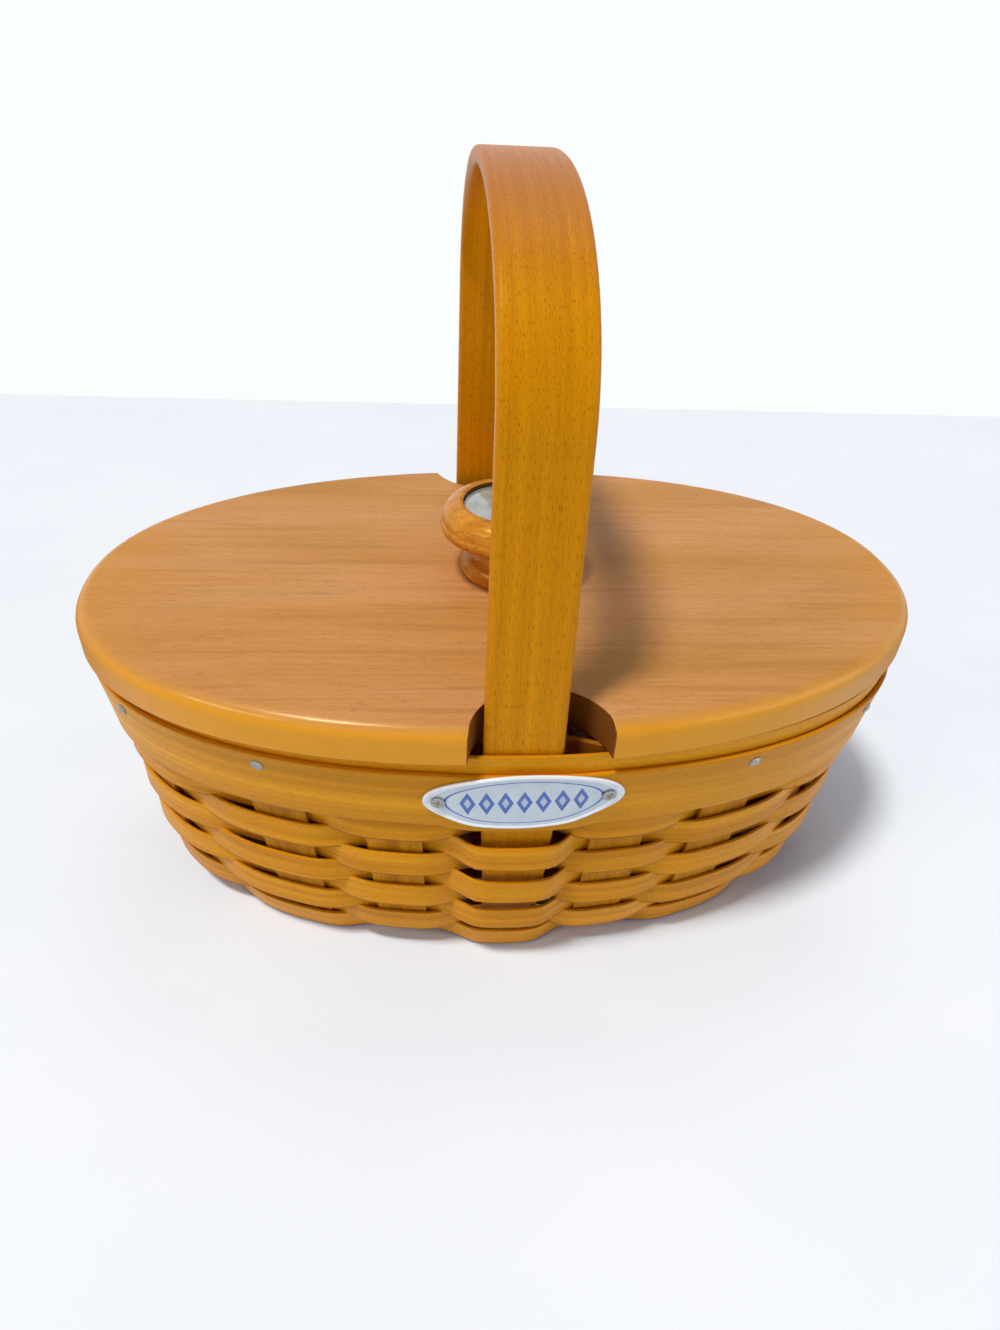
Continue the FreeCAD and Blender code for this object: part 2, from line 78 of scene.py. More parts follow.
def swell(z):
    """Bulge of the wall; the fraction makes its fullest place, three quarters down, a whole swell."""
    t = fall(z)
    return wall_swell * t ** 3 * (1 - t) * 256 / 27


def half_length(z):
    return rim_half_length - end_flare * fall(z) + swell(z)


def half_depth(z):
    return rim_half_depth - side_flare * fall(z) + swell(z)


def oval_point(a, b, turn, power):
    """Point and outward normal of an oval at a turn angle."""
    c = math.cos(turn)
    s = math.sin(turn)
    x = math.copysign(abs(c) ** (2 / power), c) * a
    y = math.copysign(abs(s) ** (2 / power), s) * b
    nx = math.copysign((abs(x) / a) ** (power - 1), x) / a
    ny = math.copysign((abs(y) / b) ** (power - 1), y) / b
    size = math.hypot(nx, ny)
    return x, y, nx / size, ny / size


def wall_point(turn, z, offset):
    x, y, nx, ny = oval_point(half_length(z), half_depth(z), turn, plan_power)
    return Vector((x + nx * offset, y + ny * offset, z))


def ring_length(z, steps=240):
    turns = [2 * math.pi * step / steps for step in range(steps + 1)]
    points = [wall_point(turn, z, 0.0) for turn in turns]
    return sum((b - a).length for a, b in zip(points, points[1:]))


print("round the rim:", round(ring_length(rim_height)), "mm")

# %% [markdown]
# ## Places round the wall
# Five splints run front to back under the base and three run end to end, and their sixteen ends stand
# up as uprights. A weaver could be measured in degrees, but it passes outside one upright and inside
# the next, so places are counted in uprights instead: a share of the way round is even from one to the
# next. They are counted from the front middle towards the right, and the two middle ones turn with the
# handle, which sits a little askew.

# %% Places of the uprights
splint_half = 0.65
cross_pitch_base = 36.3
cross_pitch_rim = 40.6
long_pitch_base = 34.0
long_pitch_rim = 48.5
columns = 16
back_middle = 8
leg_skew = math.tan(math.radians(2.0))


def cross_place(k, z):
    return k * (cross_pitch_base + (cross_pitch_rim - cross_pitch_base) * z / rim_height)


def long_place(j, z):
    return j * (long_pitch_base + (long_pitch_rim - long_pitch_base) * z / rim_height)


@functools.lru_cache(maxsize=None)
def column_turns(z):
    """Turn angles of the uprights at a height, and the first one again a full turn on."""
    a = half_length(z)
    b = half_depth(z)
    front = [-math.acos((cross_place(k, z) / a) ** (plan_power / 2)) for k in (1, 2)]
    front += [-math.asin((long_place(j, z) / b) ** (plan_power / 2)) for j in (1, 0)]
    right = front + [-turn for turn in reversed(front[:-1])]
    leg = math.acos((b * leg_skew / a) ** (plan_power / 2))
    turns = [-leg] + right + [math.pi - leg] + [math.pi - turn for turn in reversed(right)]
    return turns + [2 * math.pi - leg]


def turn_at(share, z):
    """Turn angle at a share of the way round, even from one upright to the next."""
    turns = column_turns(round(z, 3))
    column = min(int(share * columns), columns - 1)
    part = share * columns - column
    return turns[column] + (turns[column + 1] - turns[column]) * part


print("uprights at the rim, in degrees:", [round(math.degrees(turn)) for turn in column_turns(rim_height)])

# %% [markdown]
# ## Room for the handle's legs
# The legs of the handle run down inside the outer band, come out through the wall below it and end
# under the lowest weavers, so that bands and weavers bulge over them. The bulge could be pushed into
# each finished strip. As a smooth window in the formula it is there from the start, the same for all.

# %% Handle legs
handle_width = 25.4
handle_thickness = 5.0
leg_end_width = 17.0
leg_shoulder_height = 84.0
leg_end_height = 10.0
leg_end_thickness = 1.2
leg_settle_height = 50.0
leg_push_flat = 13.5
leg_push_end = 30.0
band_over_leg = 0.3
fit_gap = 0.15


def from_leg(here):
    """Distance along X from the handle's middle line."""
    return here.x + here.y * leg_skew


def leg_thickness(z):
    share = clamp((z - leg_end_height) / (rim_height - leg_end_height), 0.0, 1.0)
    return leg_end_thickness + (handle_thickness - leg_end_thickness) * share


def leg_half_width(z):
    share = clamp(z / leg_shoulder_height, 0.0, 1.0)
    return (leg_end_width + (handle_width - leg_end_width) * share) / 2


def leg_stand_out(z):
    """How far a leg's outer face stands out from the uprights."""
    t = clamp((rim_height - z) / (rim_height - leg_settle_height), 0.0, 1.0)
    return (leg_thickness(z) + fit_gap) * t * t * (3 - 2 * t)


def leg_push_in(z):
    return leg_thickness(z) + fit_gap - leg_stand_out(z)


def window(x, flat, end):
    """1 beside a handle leg, falling smoothly to 0 past it."""
    t = clamp((abs(x) - flat) / (end - flat), 0.0, 1.0)
    return 0.5 + 0.5 * math.cos(math.pi * t)


def band_offset(z, x, start):
    """Offset of a face this far outside the uprights, pushed out over the handle's legs."""
    return start + window(x, leg_push_flat, leg_push_end) * (leg_stand_out(z) + band_over_leg)


print("legs stand out by", round(leg_stand_out(leg_settle_height), 1), "mm at", leg_settle_height, "mm")

# %% [markdown]
# ## Colours and nodes
# Colours are written as the eye reads them, in sRGB hex, and one function turns them linear, as the
# sockets want them. A material could be wired by hand in the node editor. A script does the same with
# one small function that adds any node, so that each line below is one step of a finish.

# %% Colour and node helpers
# The sockets of a colour Mix node go by number: 0 is the share, 6 and 7 are the two colours
MIX = {"data_type": "RGBA"}
MULTIPLY = {"data_type": "RGBA", "blend_type": "MULTIPLY"}


def linear(text):
    """Linear colour from an sRGB hex one."""
    channels = [int(text[i:i + 2], 16) / 255 for i in (1, 3, 5)]
    return [c / 12.92 if c <= 0.04045 else ((c + 0.055) / 1.055) ** 2.4 for c in channels] + [1.0]


def add_node(tree, kind, inputs=(), settings=None, stops=()):
    """Add one node with its settings and links.

    Inputs come in the order of the sockets, or by their names or numbers. Each is a value, a socket,
    or a node, whose first output in use is linked. Stops are the (place, hex) colours of a ramp.
    """
    node = tree.nodes.new(kind)
    for name, value in (settings or {}).items():
        setattr(node, name, value)
    for socket, value in inputs.items() if isinstance(inputs, dict) else enumerate(inputs):
        if isinstance(value, bpy.types.Node):
            value = [output for output in value.outputs if output.enabled][0]
        if isinstance(value, bpy.types.NodeSocket):
            tree.links.new(value, node.inputs[socket])
        else:
            node.inputs[socket].default_value = value
    if stops:
        elements = node.color_ramp.elements
        for extra in stops[2:]:
            elements.new(0.5)
        for element, (place, colour) in zip(elements, stops):
            element.position = place
            element.color = linear(colour)
    return node


def empty_material(name):
    material = bpy.data.materials.new(name)
    material.use_nodes = True
    material.node_tree.nodes.clear()
    return material, material.node_tree


def stretched_noise(tree, coordinates, size, detail, turn=0.0, waver=0.0):
    """Noise whose grains have a real size in millimetres along each axis."""
    inputs = {"Vector": coordinates, "Rotation": (0, 0, turn), "Scale": [1000 / length for length in size]}
    place = add_node(tree, "ShaderNodeMapping", inputs)
    inputs = {"Vector": place, "Scale": 1.0, "Detail": detail, "Roughness": 0.55, "Distortion": waver}
    return add_node(tree, "ShaderNodeTexNoise", inputs)


def surface(tree, height, depth, inputs):
    """The material's shader, bumped by a height of this depth in millimetres."""
    bump = add_node(tree, "ShaderNodeBump", {"Strength": 1.0, "Distance": depth * MM, "Height": height})
    shader = add_node(tree, "ShaderNodeBsdfPrincipled", {**inputs, "Normal": bump})
    add_node(tree, "ShaderNodeOutputMaterial", {"Surface": shader})


print("honey stain in linear light:", [round(channel, 3) for channel in linear("#efa114")])

# %% [markdown]
# ## Stained wood
# Weavers, uprights, bands, handle and knob are maple, dipped in honey-coloured stain under a thin
# satin varnish. Close up they show slow changes of tone, fine fibres and short dark flecks. A picture
# of wood would blur and repeat on strips this long. So each of the three is a noise stretched along
# the fibres, its grains worked out from the size of a bundle of fibres. The yellow stain also colours
# the sheen of the varnish. Marked edges are mixed towards a darker colour, which on the weavers' lower
# edges and on the wall of the knob's recess is painted shade, and the arch grows darker and redder
# towards its top.

# %% Sizes of the grain
# Single fibres are too fine to show, so bundles of them are drawn, 0.55 to 1 mm wide. The sizes of a
# tone and of a fleck are shares of such a bundle, one along it and another across
lengthwise_over = 5.0
tone_shares = (12.6, 7.0)
fleck_shares = (0.085, 0.65)


def grains(fibre, shares):
    """Sizes of a pattern's grains; a size over 5 mm in a fibre is its length, and others its width."""
    along, across = shares
    return [size * (along if size > lengthwise_over else across) for size in fibre]


print("tones on a weaver, in mm:", [round(size, 1) for size in grains((22, 0.7, 1), tone_shares)])

# %% Wood
stain_sheen = "#ffc060"
top_tint_from = 240.0
top_tint_full = 264.0


def wood(name, pale, deep, fleck, fibre, coordinates="UV", shine=0.42, gloss=0.25, streaks=0.3, flecks=0.4,
         edge=None, edge_share=0.3, top_tint=None):
    """Stained and varnished wood; fibre is the size of a bundle of fibres along the three axes."""
    material, tree = empty_material(name)
    places = add_node(tree, "ShaderNodeTexCoord").outputs
    source = places[coordinates]
    tone = stretched_noise(tree, source, grains(fibre, tone_shares), 2)
    lines = stretched_noise(tree, source, fibre, 4)
    dashes = stretched_noise(tree, source, grains(fibre, fleck_shares), 0)
    colour = add_node(tree, "ShaderNodeValToRGB", (tone,), stops=((0.32, deep), (0.68, pale)))
    fibres = add_node(tree, "ShaderNodeValToRGB", (lines,), stops=((0.28, "#c9a878"), (0.62, "#ffffff")))
    colour = add_node(tree, "ShaderNodeMix", {0: streaks, 6: colour, 7: fibres}, MULTIPLY)
    share = add_node(tree, "ShaderNodeMapRange", (dashes, 0.62, 0.7, 0.0, flecks))
    colour = add_node(tree, "ShaderNodeMix", {0: share, 6: colour, 7: linear(fleck)}, MIX)
    # Marked edges are darkened; under the weavers and in the knob's recess that darkening is painted shade
    if edge:
        stained = add_node(tree, "ShaderNodeAttribute", settings={"attribute_name": "edge"}).outputs["Fac"]
        share = add_node(tree, "ShaderNodeMapRange", (stained, 0.2, 1.0, 0.0, edge_share))
        colour = add_node(tree, "ShaderNodeMix", {0: share, 6: colour, 7: linear(edge)}, MIX)
    # The arch grows darker and redder towards its top
    if top_tint:
        height = add_node(tree, "ShaderNodeSeparateXYZ", (places["Object"],)).outputs["Z"]
        share = add_node(tree, "ShaderNodeMapRange", (height, top_tint_from * MM, top_tint_full * MM, 0.0, 0.7))
        colour = add_node(tree, "ShaderNodeMix", {0: share, 6: colour, 7: linear(top_tint)}, MIX)
    roughness = add_node(tree, "ShaderNodeMapRange", (lines, 0.3, 0.7, shine + 0.08, shine - 0.04))
    surface(tree, lines, 0.02, {"Base Color": colour, "Roughness": roughness, "IOR": 1.5,
                                "Specular IOR Level": gloss, "Specular Tint": linear(stain_sheen)})
    return material


# Thin weavers took up the most stain. Their lower edges are darkened red-brown: painted shade under each
# row
weaver_wood = wood("stained maple weaver splint", "#efa114", "#cb7f08", "#8a4a0a", (22, 0.7, 1),
                   edge="#74280a", edge_share=0.65, flecks=0.25, streaks=0.2)
print(weaver_wood.name + ":", len(weaver_wood.node_tree.nodes), "nodes")

# %% Woods of the bands and the handle
# Strips carry their own grain lengthways, in metres along and across, and read it as their UV map.
# Outside, the bands are smooth and golden, with long quiet fibres
band_wood = wood("bent maple rim band", "#f2a414", "#d0870a", "#94560c", (36, 0.8, 1),
                 edge="#b06c14", flecks=0.25, streaks=0.15)
# Painted shade: the inner band is a darker, browner copy of the band wood, as it lies in shade inside the
# rim
inner_band_wood = wood("bent maple inner band", "#b86c1c", "#9a5410", "#5c300c", (30, 0.7, 1),
                       edge="#7a3f12")
# The strap is shinier, strewn with short flecks, and darker and redder towards the top of the arch
handle_wood = wood("bent maple handle strap", "#e8970a", "#cd8206", "#8c4a04", (24, 0.55, 1), shine=0.36,
                   edge="#c87c0c", flecks=0.45, streaks=0.22, top_tint="#a3520a")
print("made:", band_wood.name + ",", inner_band_wood.name, "and", handle_wood.name)

# %% Woods of the uprights
# Uprights keep their solids, which have no UV map, so their grain goes by Object coordinates: along
# Y and Z, or along X and Z. They show as plain brown-gold slats with a coarse straight grain
upright_colours = ("#de9410", "#b87208", "#7c460c")
cross_upright_wood = wood("maple upright splint crosswise", *upright_colours, (0.7, 30, 30), "Object")
long_upright_wood = wood("maple upright splint lengthwise", *upright_colours, (30, 0.7, 30), "Object")
print("made:", cross_upright_wood.name, "and", long_upright_wood.name)

# %% [markdown]
# ## Wood of the lid
# The lid is one planed board of beech, paler and pinker than the splints, with long open growth lines
# and fine flecks. Its growth lines could be bent into arches by a wave texture, but the real ones
# wander, so they are a stretched noise with a little waver. The top is rubbed dull. The rounded edge
# is smoother and mixed towards gold, partly its own stain and partly painted light where the rounding
# catches the light. The board's two ends are golden too, and their end faces darker and rougher.
# The way a face looks, up or sideways, tells the material where it is.

# %% Grain of the lid
lid_turn = math.radians(3.2)
golden_from = 115.0
golden_full = 156.0


def lid_grain(tree, source):
    """Colour of the board before its edges are stained, and the height of its fibres."""
    slow = stretched_noise(tree, source, (150, 26, 26), 2, -lid_turn)
    rings = stretched_noise(tree, source, (110, 5.0, 9), 3, -lid_turn, 0.6)
    lines = stretched_noise(tree, source, (20, 0.55, 0.55), 4, -lid_turn)
    dashes = stretched_noise(tree, source, (2.6, 0.45, 0.45), 0, -lid_turn)
    tones = ((0.3, "#c4863c"), (0.5, "#d0904c"), (0.7, "#d4965c"))
    colour = add_node(tree, "ShaderNodeValToRGB", (slow,), stops=tones)
    tones = ((0.36, "#b49a7c"), (0.5, "#ffffff"), (0.62, "#e4d2bc"))
    growth = add_node(tree, "ShaderNodeValToRGB", (rings,), stops=tones)
    colour = add_node(tree, "ShaderNodeMix", {0: 0.27, 6: colour, 7: growth}, MULTIPLY)
    fine = add_node(tree, "ShaderNodeValToRGB", (lines,), stops=((0.3, "#c2ab93"), (0.6, "#ffffff")))
    colour = add_node(tree, "ShaderNodeMix", {0: 0.18, 6: colour, 7: fine}, MULTIPLY)
    share = add_node(tree, "ShaderNodeMapRange", (dashes, 0.68, 0.76, 0.0, 0.4))
    colour = add_node(tree, "ShaderNodeMix", {0: share, 6: colour, 7: linear("#96602c")}, MIX)
    along = add_node(tree, "ShaderNodeSeparateXYZ", (source,)).outputs["X"]
    along = add_node(tree, "ShaderNodeMath", (along,), {"operation": "ABSOLUTE"})
    share = add_node(tree, "ShaderNodeMapRange", (along, golden_from * MM, golden_full * MM, 0.0, 0.55))
    return add_node(tree, "ShaderNodeMix", {0: share, 6: colour, 7: linear("#d68e2c")}, MIX), lines


print("the lid lies", round(math.degrees(lid_turn), 1), "degrees askew, and its grain with it")


# %% Lid board
def lid_wood_material():
    """Satin beech; its bored notches carry the attribute "bored" and are the darkest."""
    material, tree = empty_material("planed beech lid board")
    colour, lines = lid_grain(tree, add_node(tree, "ShaderNodeTexCoord").outputs["Object"])
    normal = add_node(tree, "ShaderNodeNewGeometry").outputs["Normal"]
    facing = add_node(tree, "ShaderNodeSeparateXYZ", (normal,)).outputs
    # Side faces are mixed towards gold: partly the edge's own stain, partly painted light on the rounding
    side = add_node(tree, "ShaderNodeMapRange", (facing["Z"], 0.96, 0.5))
    golden = add_node(tree, "ShaderNodeMix", {0: 0.82, 6: colour, 7: linear("#ee9e0c")}, MIX)
    colour = add_node(tree, "ShaderNodeMix", {0: side, 6: colour, 7: golden}, MIX)
    # The end faces of the board are darker and rougher than the long sides
    endwise = add_node(tree, "ShaderNodeMath", (facing["X"],), {"operation": "ABSOLUTE"})
    dull = add_node(tree, "ShaderNodeMapRange", (endwise, 0.48, 0.85, 0.0, 0.5))
    colour = add_node(tree, "ShaderNodeMix", {0: dull, 6: colour, 7: linear("#945818")}, MIX)
    # The bored walls of the notches are darkened: partly stain sunk into their end grain, partly painted
    # shade in the notch
    bored = add_node(tree, "ShaderNodeAttribute", settings={"attribute_name": "bored"}).outputs["Fac"]
    share = add_node(tree, "ShaderNodeMapRange", (bored, 0.0, 1.0, 0.0, 0.9))
    colour = add_node(tree, "ShaderNodeMix", {0: share, 6: colour, 7: linear("#64300a")}, MIX)
    smooth = add_node(tree, "ShaderNodeMapRange", (facing["Z"], 0.985, 0.82, 0.44, 0.2))
    roughness = add_node(tree, "ShaderNodeMath", (smooth, dull), {"operation": "ADD"})
    surface(tree, lines, 0.012, {"Base Color": colour, "Roughness": roughness, "IOR": 1.5,
                                 "Specular IOR Level": 0.34, "Specular Tint": linear("#ffe0b0")})
    return material


lid_wood = lid_wood_material()
# Turning cuts across the fibres, so the knob shows strong streaks under the glossiest varnish
knob_wood = wood("turned maple knob", "#e49a30", "#cc8220", "#8a4c14", (24, 1.0, 1.0), "Object", shine=0.24,
                 gloss=0.6, edge="#3a1a06", edge_share=0.92, streaks=0.7)
print("lid and knob wood made:", lid_wood.name, "and", knob_wood.name)

# %% [markdown]
# ## Glaze and steel
# The disc in the knob is glazed ceramic, a cloudy grey-green under a clear glassy skin: a coat over
# the colour gives that depth without a second mesh. Tacks and screws are zinc-plated steel, a dull
# grey metal whose scuffs catch the light, so its roughness changes with the same noise as its colour.

# %% Ceramic and steel
def insert_glaze_material():
    """Cloudy glaze that looks wet, with sharp reflections."""
    material, tree = empty_material("glazed ceramic insert")
    source = add_node(tree, "ShaderNodeTexCoord").outputs["Object"]
    cloud = stretched_noise(tree, source, (6, 6, 6), 2)
    colour = add_node(tree, "ShaderNodeValToRGB", (cloud,), stops=((0.3, "#8f938a"), (0.7, "#b2b5ae")))
    surface(tree, cloud, 0.02, {"Base Color": colour, "Roughness": 0.1, "IOR": 1.52,
                                "Coat Weight": 0.6, "Coat Roughness": 0.03})
    return material


def steel_material():
    """Scuffs are drawn 0.6 mm wide, coarser than real ones, so that they show on so small a head."""
    material, tree = empty_material("zinc-plated steel")
    source = add_node(tree, "ShaderNodeTexCoord").outputs["Object"]
    scuffs = stretched_noise(tree, source, (0.6, 0.6, 0.6), 3)
    colour = add_node(tree, "ShaderNodeValToRGB", (scuffs,), stops=((0.3, "#7c7c78"), (0.7, "#b8b8b2")))
    roughness = add_node(tree, "ShaderNodeMapRange", (scuffs, 0.3, 0.7, 0.45, 0.28))
    surface(tree, scuffs, 0.02, {"Base Color": colour, "Roughness": roughness, "Metallic": 1.0})
    return material


insert_glaze = insert_glaze_material()
fastener_steel = steel_material()
print("made:", insert_glaze.name, "and", fastener_steel.name)

# %% [markdown]
# ## Enamel of the plate
# The oval plate is metal under pale enamel, smooth and a little glossy, with a raised edge coloured
# near-white, partly its own white enamel and partly a painted highlight along the rim, a plain blue
# oval line and a row of plain lozenges. They could be cut as thin pieces and laid on it, but paint has
# no thickness worth a mesh. So they are painted by sums on the place on the plate: each line of the
# table below is one Math node, which may use the results before it.

# %% Enamel
plate_width = 64.5
plate_height = 24.0
oval_line = 0.78
oval_line_half = 0.014
white_edge_from = 0.9
lozenge_pitch = 6.0
lozenge_reach = 0.4286
lozenge_heart = 0.2
lozenge_row_end = 0.66

painting = (
    ("oval line", "COMPARE", "distance", oval_line, oval_line_half),
    ("run", "MULTIPLY", "across", plate_width / 2 / lozenge_pitch),
    ("beside", "PINGPONG", "run", 0.5),
    ("above", "ABSOLUTE", "up"),
    ("away", "ADD", "beside", "above"),
    ("lozenge", "LESS_THAN", "away", lozenge_reach),
    ("sideways", "ABSOLUTE", "across"),
    ("in the row", "LESS_THAN", "sideways", lozenge_row_end),
    ("lozenge", "MULTIPLY", "lozenge", "in the row"),
    ("heart", "LESS_THAN", "away", lozenge_heart),
    ("hollow", "MULTIPLY_ADD", "heart", -0.75, 1.0),
    ("lozenge", "MULTIPLY", "lozenge", "hollow"),
    ("mark", "MAXIMUM", "oval line", "lozenge"),
    ("white edge", "GREATER_THAN", "distance", white_edge_from),
)


def plate_enamel_material():
    """Smooth pale enamel with its marks; its UV map is the place on the plate, in metres."""
    material, tree = empty_material("enamelled metal plate")
    source = add_node(tree, "ShaderNodeTexCoord").outputs["UV"]
    scale = (2 / (plate_width * MM), 2 / (plate_height * MM), 1)
    place = add_node(tree, "ShaderNodeMapping", {"Vector": source, "Scale": scale})
    axes = add_node(tree, "ShaderNodeSeparateXYZ", (place,)).outputs
    distance = add_node(tree, "ShaderNodeVectorMath", (place,), {"operation": "LENGTH"})
    results = {"across": axes["X"], "up": axes["Y"], "distance": distance}
    for name, operation, *operands in painting:
        inputs = [results.get(operand, operand) for operand in operands]
        results[name] = add_node(tree, "ShaderNodeMath", inputs, {"operation": operation})
    cloud = stretched_noise(tree, source, (5, 5, 5), 2)
    colour = add_node(tree, "ShaderNodeValToRGB", (cloud,), stops=((0.3, "#c6d1d6"), (0.7, "#d3dce0")))
    # The near-white edge is partly white enamel, partly a painted highlight along the raised rim
    for name, paint in (("mark", "#3f66b5"), ("white edge", "#eef1f2")):
        colour = add_node(tree, "ShaderNodeMix", {0: results[name], 6: colour, 7: linear(paint)}, MIX)
    surface(tree, cloud, 0.01, {"Base Color": colour, "Roughness": 0.22, "IOR": 1.5,
                                "Coat Weight": 0.4, "Coat Roughness": 0.08})
    return material


plate_enamel = plate_enamel_material()
print("painted in", len(painting), "steps:", plate_enamel.name)

# %% [markdown]
# ## Strips
# Weavers, bands and handle are all one kind of thing: a strip of wood with a rounded oblong section
# that follows a path. A curve with a section as its bevel could make them, but it twists where it
# likes and can't follow the lean of the wall. So a flat grid is laid along the path and round the
# section. Its grain is written as a UV map while it is still flat, each point then goes to its place
# on the wall, and the doubled points along the seam are merged.

# %% Section
corner_support = 0.9


def oblong(thick, high, radius, levels=1, steps=3, upper_edge=1.0):
    """Rounded oblong section as (out, up, edge) points.

    Edge is 1 on the lower rounded corners and upper_edge on the upper ones, and the wood is darkened
    there; on the weavers' lower edges that is painted shade. The flat sides have rows of points close
    to the corners, which keep their shading flat.
    """
    t = thick / 2 - radius
    h = high / 2 - radius
    flat = max(h - corner_support, 0.0)
    side = [flat * (2 * i / levels - 1) for i in range(levels + 1)]
    points = [(thick / 2, up, 0.0) for up in side]
    for index, (out, up) in enumerate(((t, h), (-t, h), (-t, -h), (t, -h))):
        if index == 2:
            points += [(-thick / 2, -place, 0.0) for place in side]
        for step in range(steps + 1):
            angle = math.pi / 2 * (index + step / steps)
            edge = upper_edge if up > 0 else 1.0
            points.append((out + radius * math.cos(angle), up + radius * math.sin(angle), edge))
    return points


print("points round a plain section:", len(oblong(2, 20, 0.5)))


# %% Strip
def strip(section, steps, length, place, closed=True, start=0.0):
    """Strip along a path; place(share, out, up) puts each point of the section, in millimetres.

    A closed strip starts and ends half way round, so that its joint comes at the back.
    """
    bm = bmesh.new()
    around = len(section)
    bmesh.ops.create_grid(bm, x_segments=steps, y_segments=around, size=1.0)
    run = [0.0]
    for a, b in zip(section, section[1:] + section[:1]):
        run.append(run[-1] + math.hypot(b[0] - a[0], b[1] - a[1]))
    grain = bm.loops.layers.uv.new("grain")
    edge_layer = bm.verts.layers.float.new("edge")
    spots = {v: ((v.co.x + 1) / 2, round((v.co.y + 1) / 2 * around)) for v in bm.verts}
    for face in bm.faces:
        for loop in face.loops:
            share, row = spots[loop.vert]
            loop[grain].uv = ((start + share * length) * MM, run[row] * MM)
    for v, (share, row) in spots.items():
        out, up, edge = section[row % around]
        v.co = place((share + 0.5) % 1.0 if closed else share, out, up) * MM
        v[edge_layer] = edge
    bmesh.ops.remove_doubles(bm, verts=bm.verts, dist=0.0005 * MM)
    if not closed:
        ends = [e for e in bm.edges if e.is_boundary]
        bmesh.ops.edgeloop_fill(bm, edges=ends)
    bmesh.ops.recalc_face_normals(bm, faces=bm.faces)
    return bm


sample = strip(oblong(2, 20, 0.5), 4, 100, lambda share, out, up: Vector((100 * share, out, up)),
               closed=False)
print("a straight sample strip:", len(sample.faces), "faces")
sample.free()


# %% Finished piece
crease_angle = math.radians(50)
print("edges sharper than", round(math.degrees(crease_angle)), "degrees stay creased")


def finish_piece(name, bm, material, body, node):
    """Smooth mesh object in place of its node, riding on its body."""
    mesh = bpy.data.meshes.new(name)
    bm.to_mesh(mesh)
    bm.free()
    piece = bpy.data.objects.new(name, mesh)
    bpy.context.scene.collection.objects.link(piece)
    mesh.shade_smooth()
    mesh.set_sharp_from_angle(angle=crease_angle)
    mesh.materials.append(material)
    normals = piece.modifiers.new("even shading", "WEIGHTED_NORMAL")
    normals.keep_sharp = True
    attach(piece, body)
    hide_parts(node)
    print(name + ":", len(mesh.polygons), "faces")


# %% [markdown]
# ## Uprights
# The uprights are flat sawn splints that bend up from the base and stand behind the weave. They could
# be made again as strips, but only slits of them show, and their solids are already bent and square.
# So they keep their solids and only get wood whose fibres run along each splint.

# %% Uprights
def dress(node, material):
    """Give a solid that stays in view its material."""
    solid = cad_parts[node]
    solid.data.materials.clear()
    solid.data.materials.append(material)


splints = ["cross_splint_" + str(number) for number in range(1, 6)]
splints += ["long_splint_" + str(number) for number in range(1, 4)]
for node in splints:
    dress(node, cross_upright_wood if node.startswith("cross") else long_upright_wood)
print("uprights:", len(splints), "splints,", columns, "ends")

# %% [markdown]
# ## Weavers
# Each of the eight rows is a thin flat splint, woven damp round the uprights: outside every second one
# and inside the others, and the next row the other way about. A row could be traced with a curve, but
# a wave in the wall's formula weaves it exactly, however many rows there are. Pulled tight, the real
# rows stand upright and touch, so these are a little taller than their solids, and only the lowest
# lean in with the foot. A row swings wide over a handle leg and bows out there. No hand-pulled splint
# is quite level or even, so each row rises, falls and swells a little, by fixed random draws.

# %% Sizes of the weave
trim_below_rim = 7.4
trim_band_height = 25.2
trim_top = rim_height - trim_below_rim
trim_bottom = trim_top - trim_band_height
weaver_rows = 8
weaver_thickness = 1.2
weaver_height = 11.0
weaver_rounding = 0.25
weaver_drop = 0.7
weaver_sway = 2.3
weaver_crest = 1.05
weaver_over_leg = 0.4
weaver_bow = 1.3
weaver_behind_leg = 0.6
weaver_leg_room = 0.8
weaver_leg_reach = 3.0
foot_lean_from = 30.0
foot_lean_span = 40.0
lowest_weaver_edge = 2.5
weaver_pitch = (trim_bottom - fit_gap - lowest_weaver_edge) / weaver_rows
steps_per_bay = 14
grain_shift = 173.0
# How many times a row rises and falls on its way round, by how much, and how unevenly it is pulled
rise_counts = (3, 5, 8)
rise_sizes = (0.04, 0.10)
pull_shares = (0.94, 1.06)
first_seed = 40
print("weaver rows lie", round(weaver_pitch, 2), "mm apart")


# %% Weavers
def crest(u, sharpness):
    """Wave through the uprights, flat for a moment where it passes each one."""
    return math.sin(math.pi / 2 * clamp(sharpness * math.cos(math.pi * u), -1.0, 1.0))


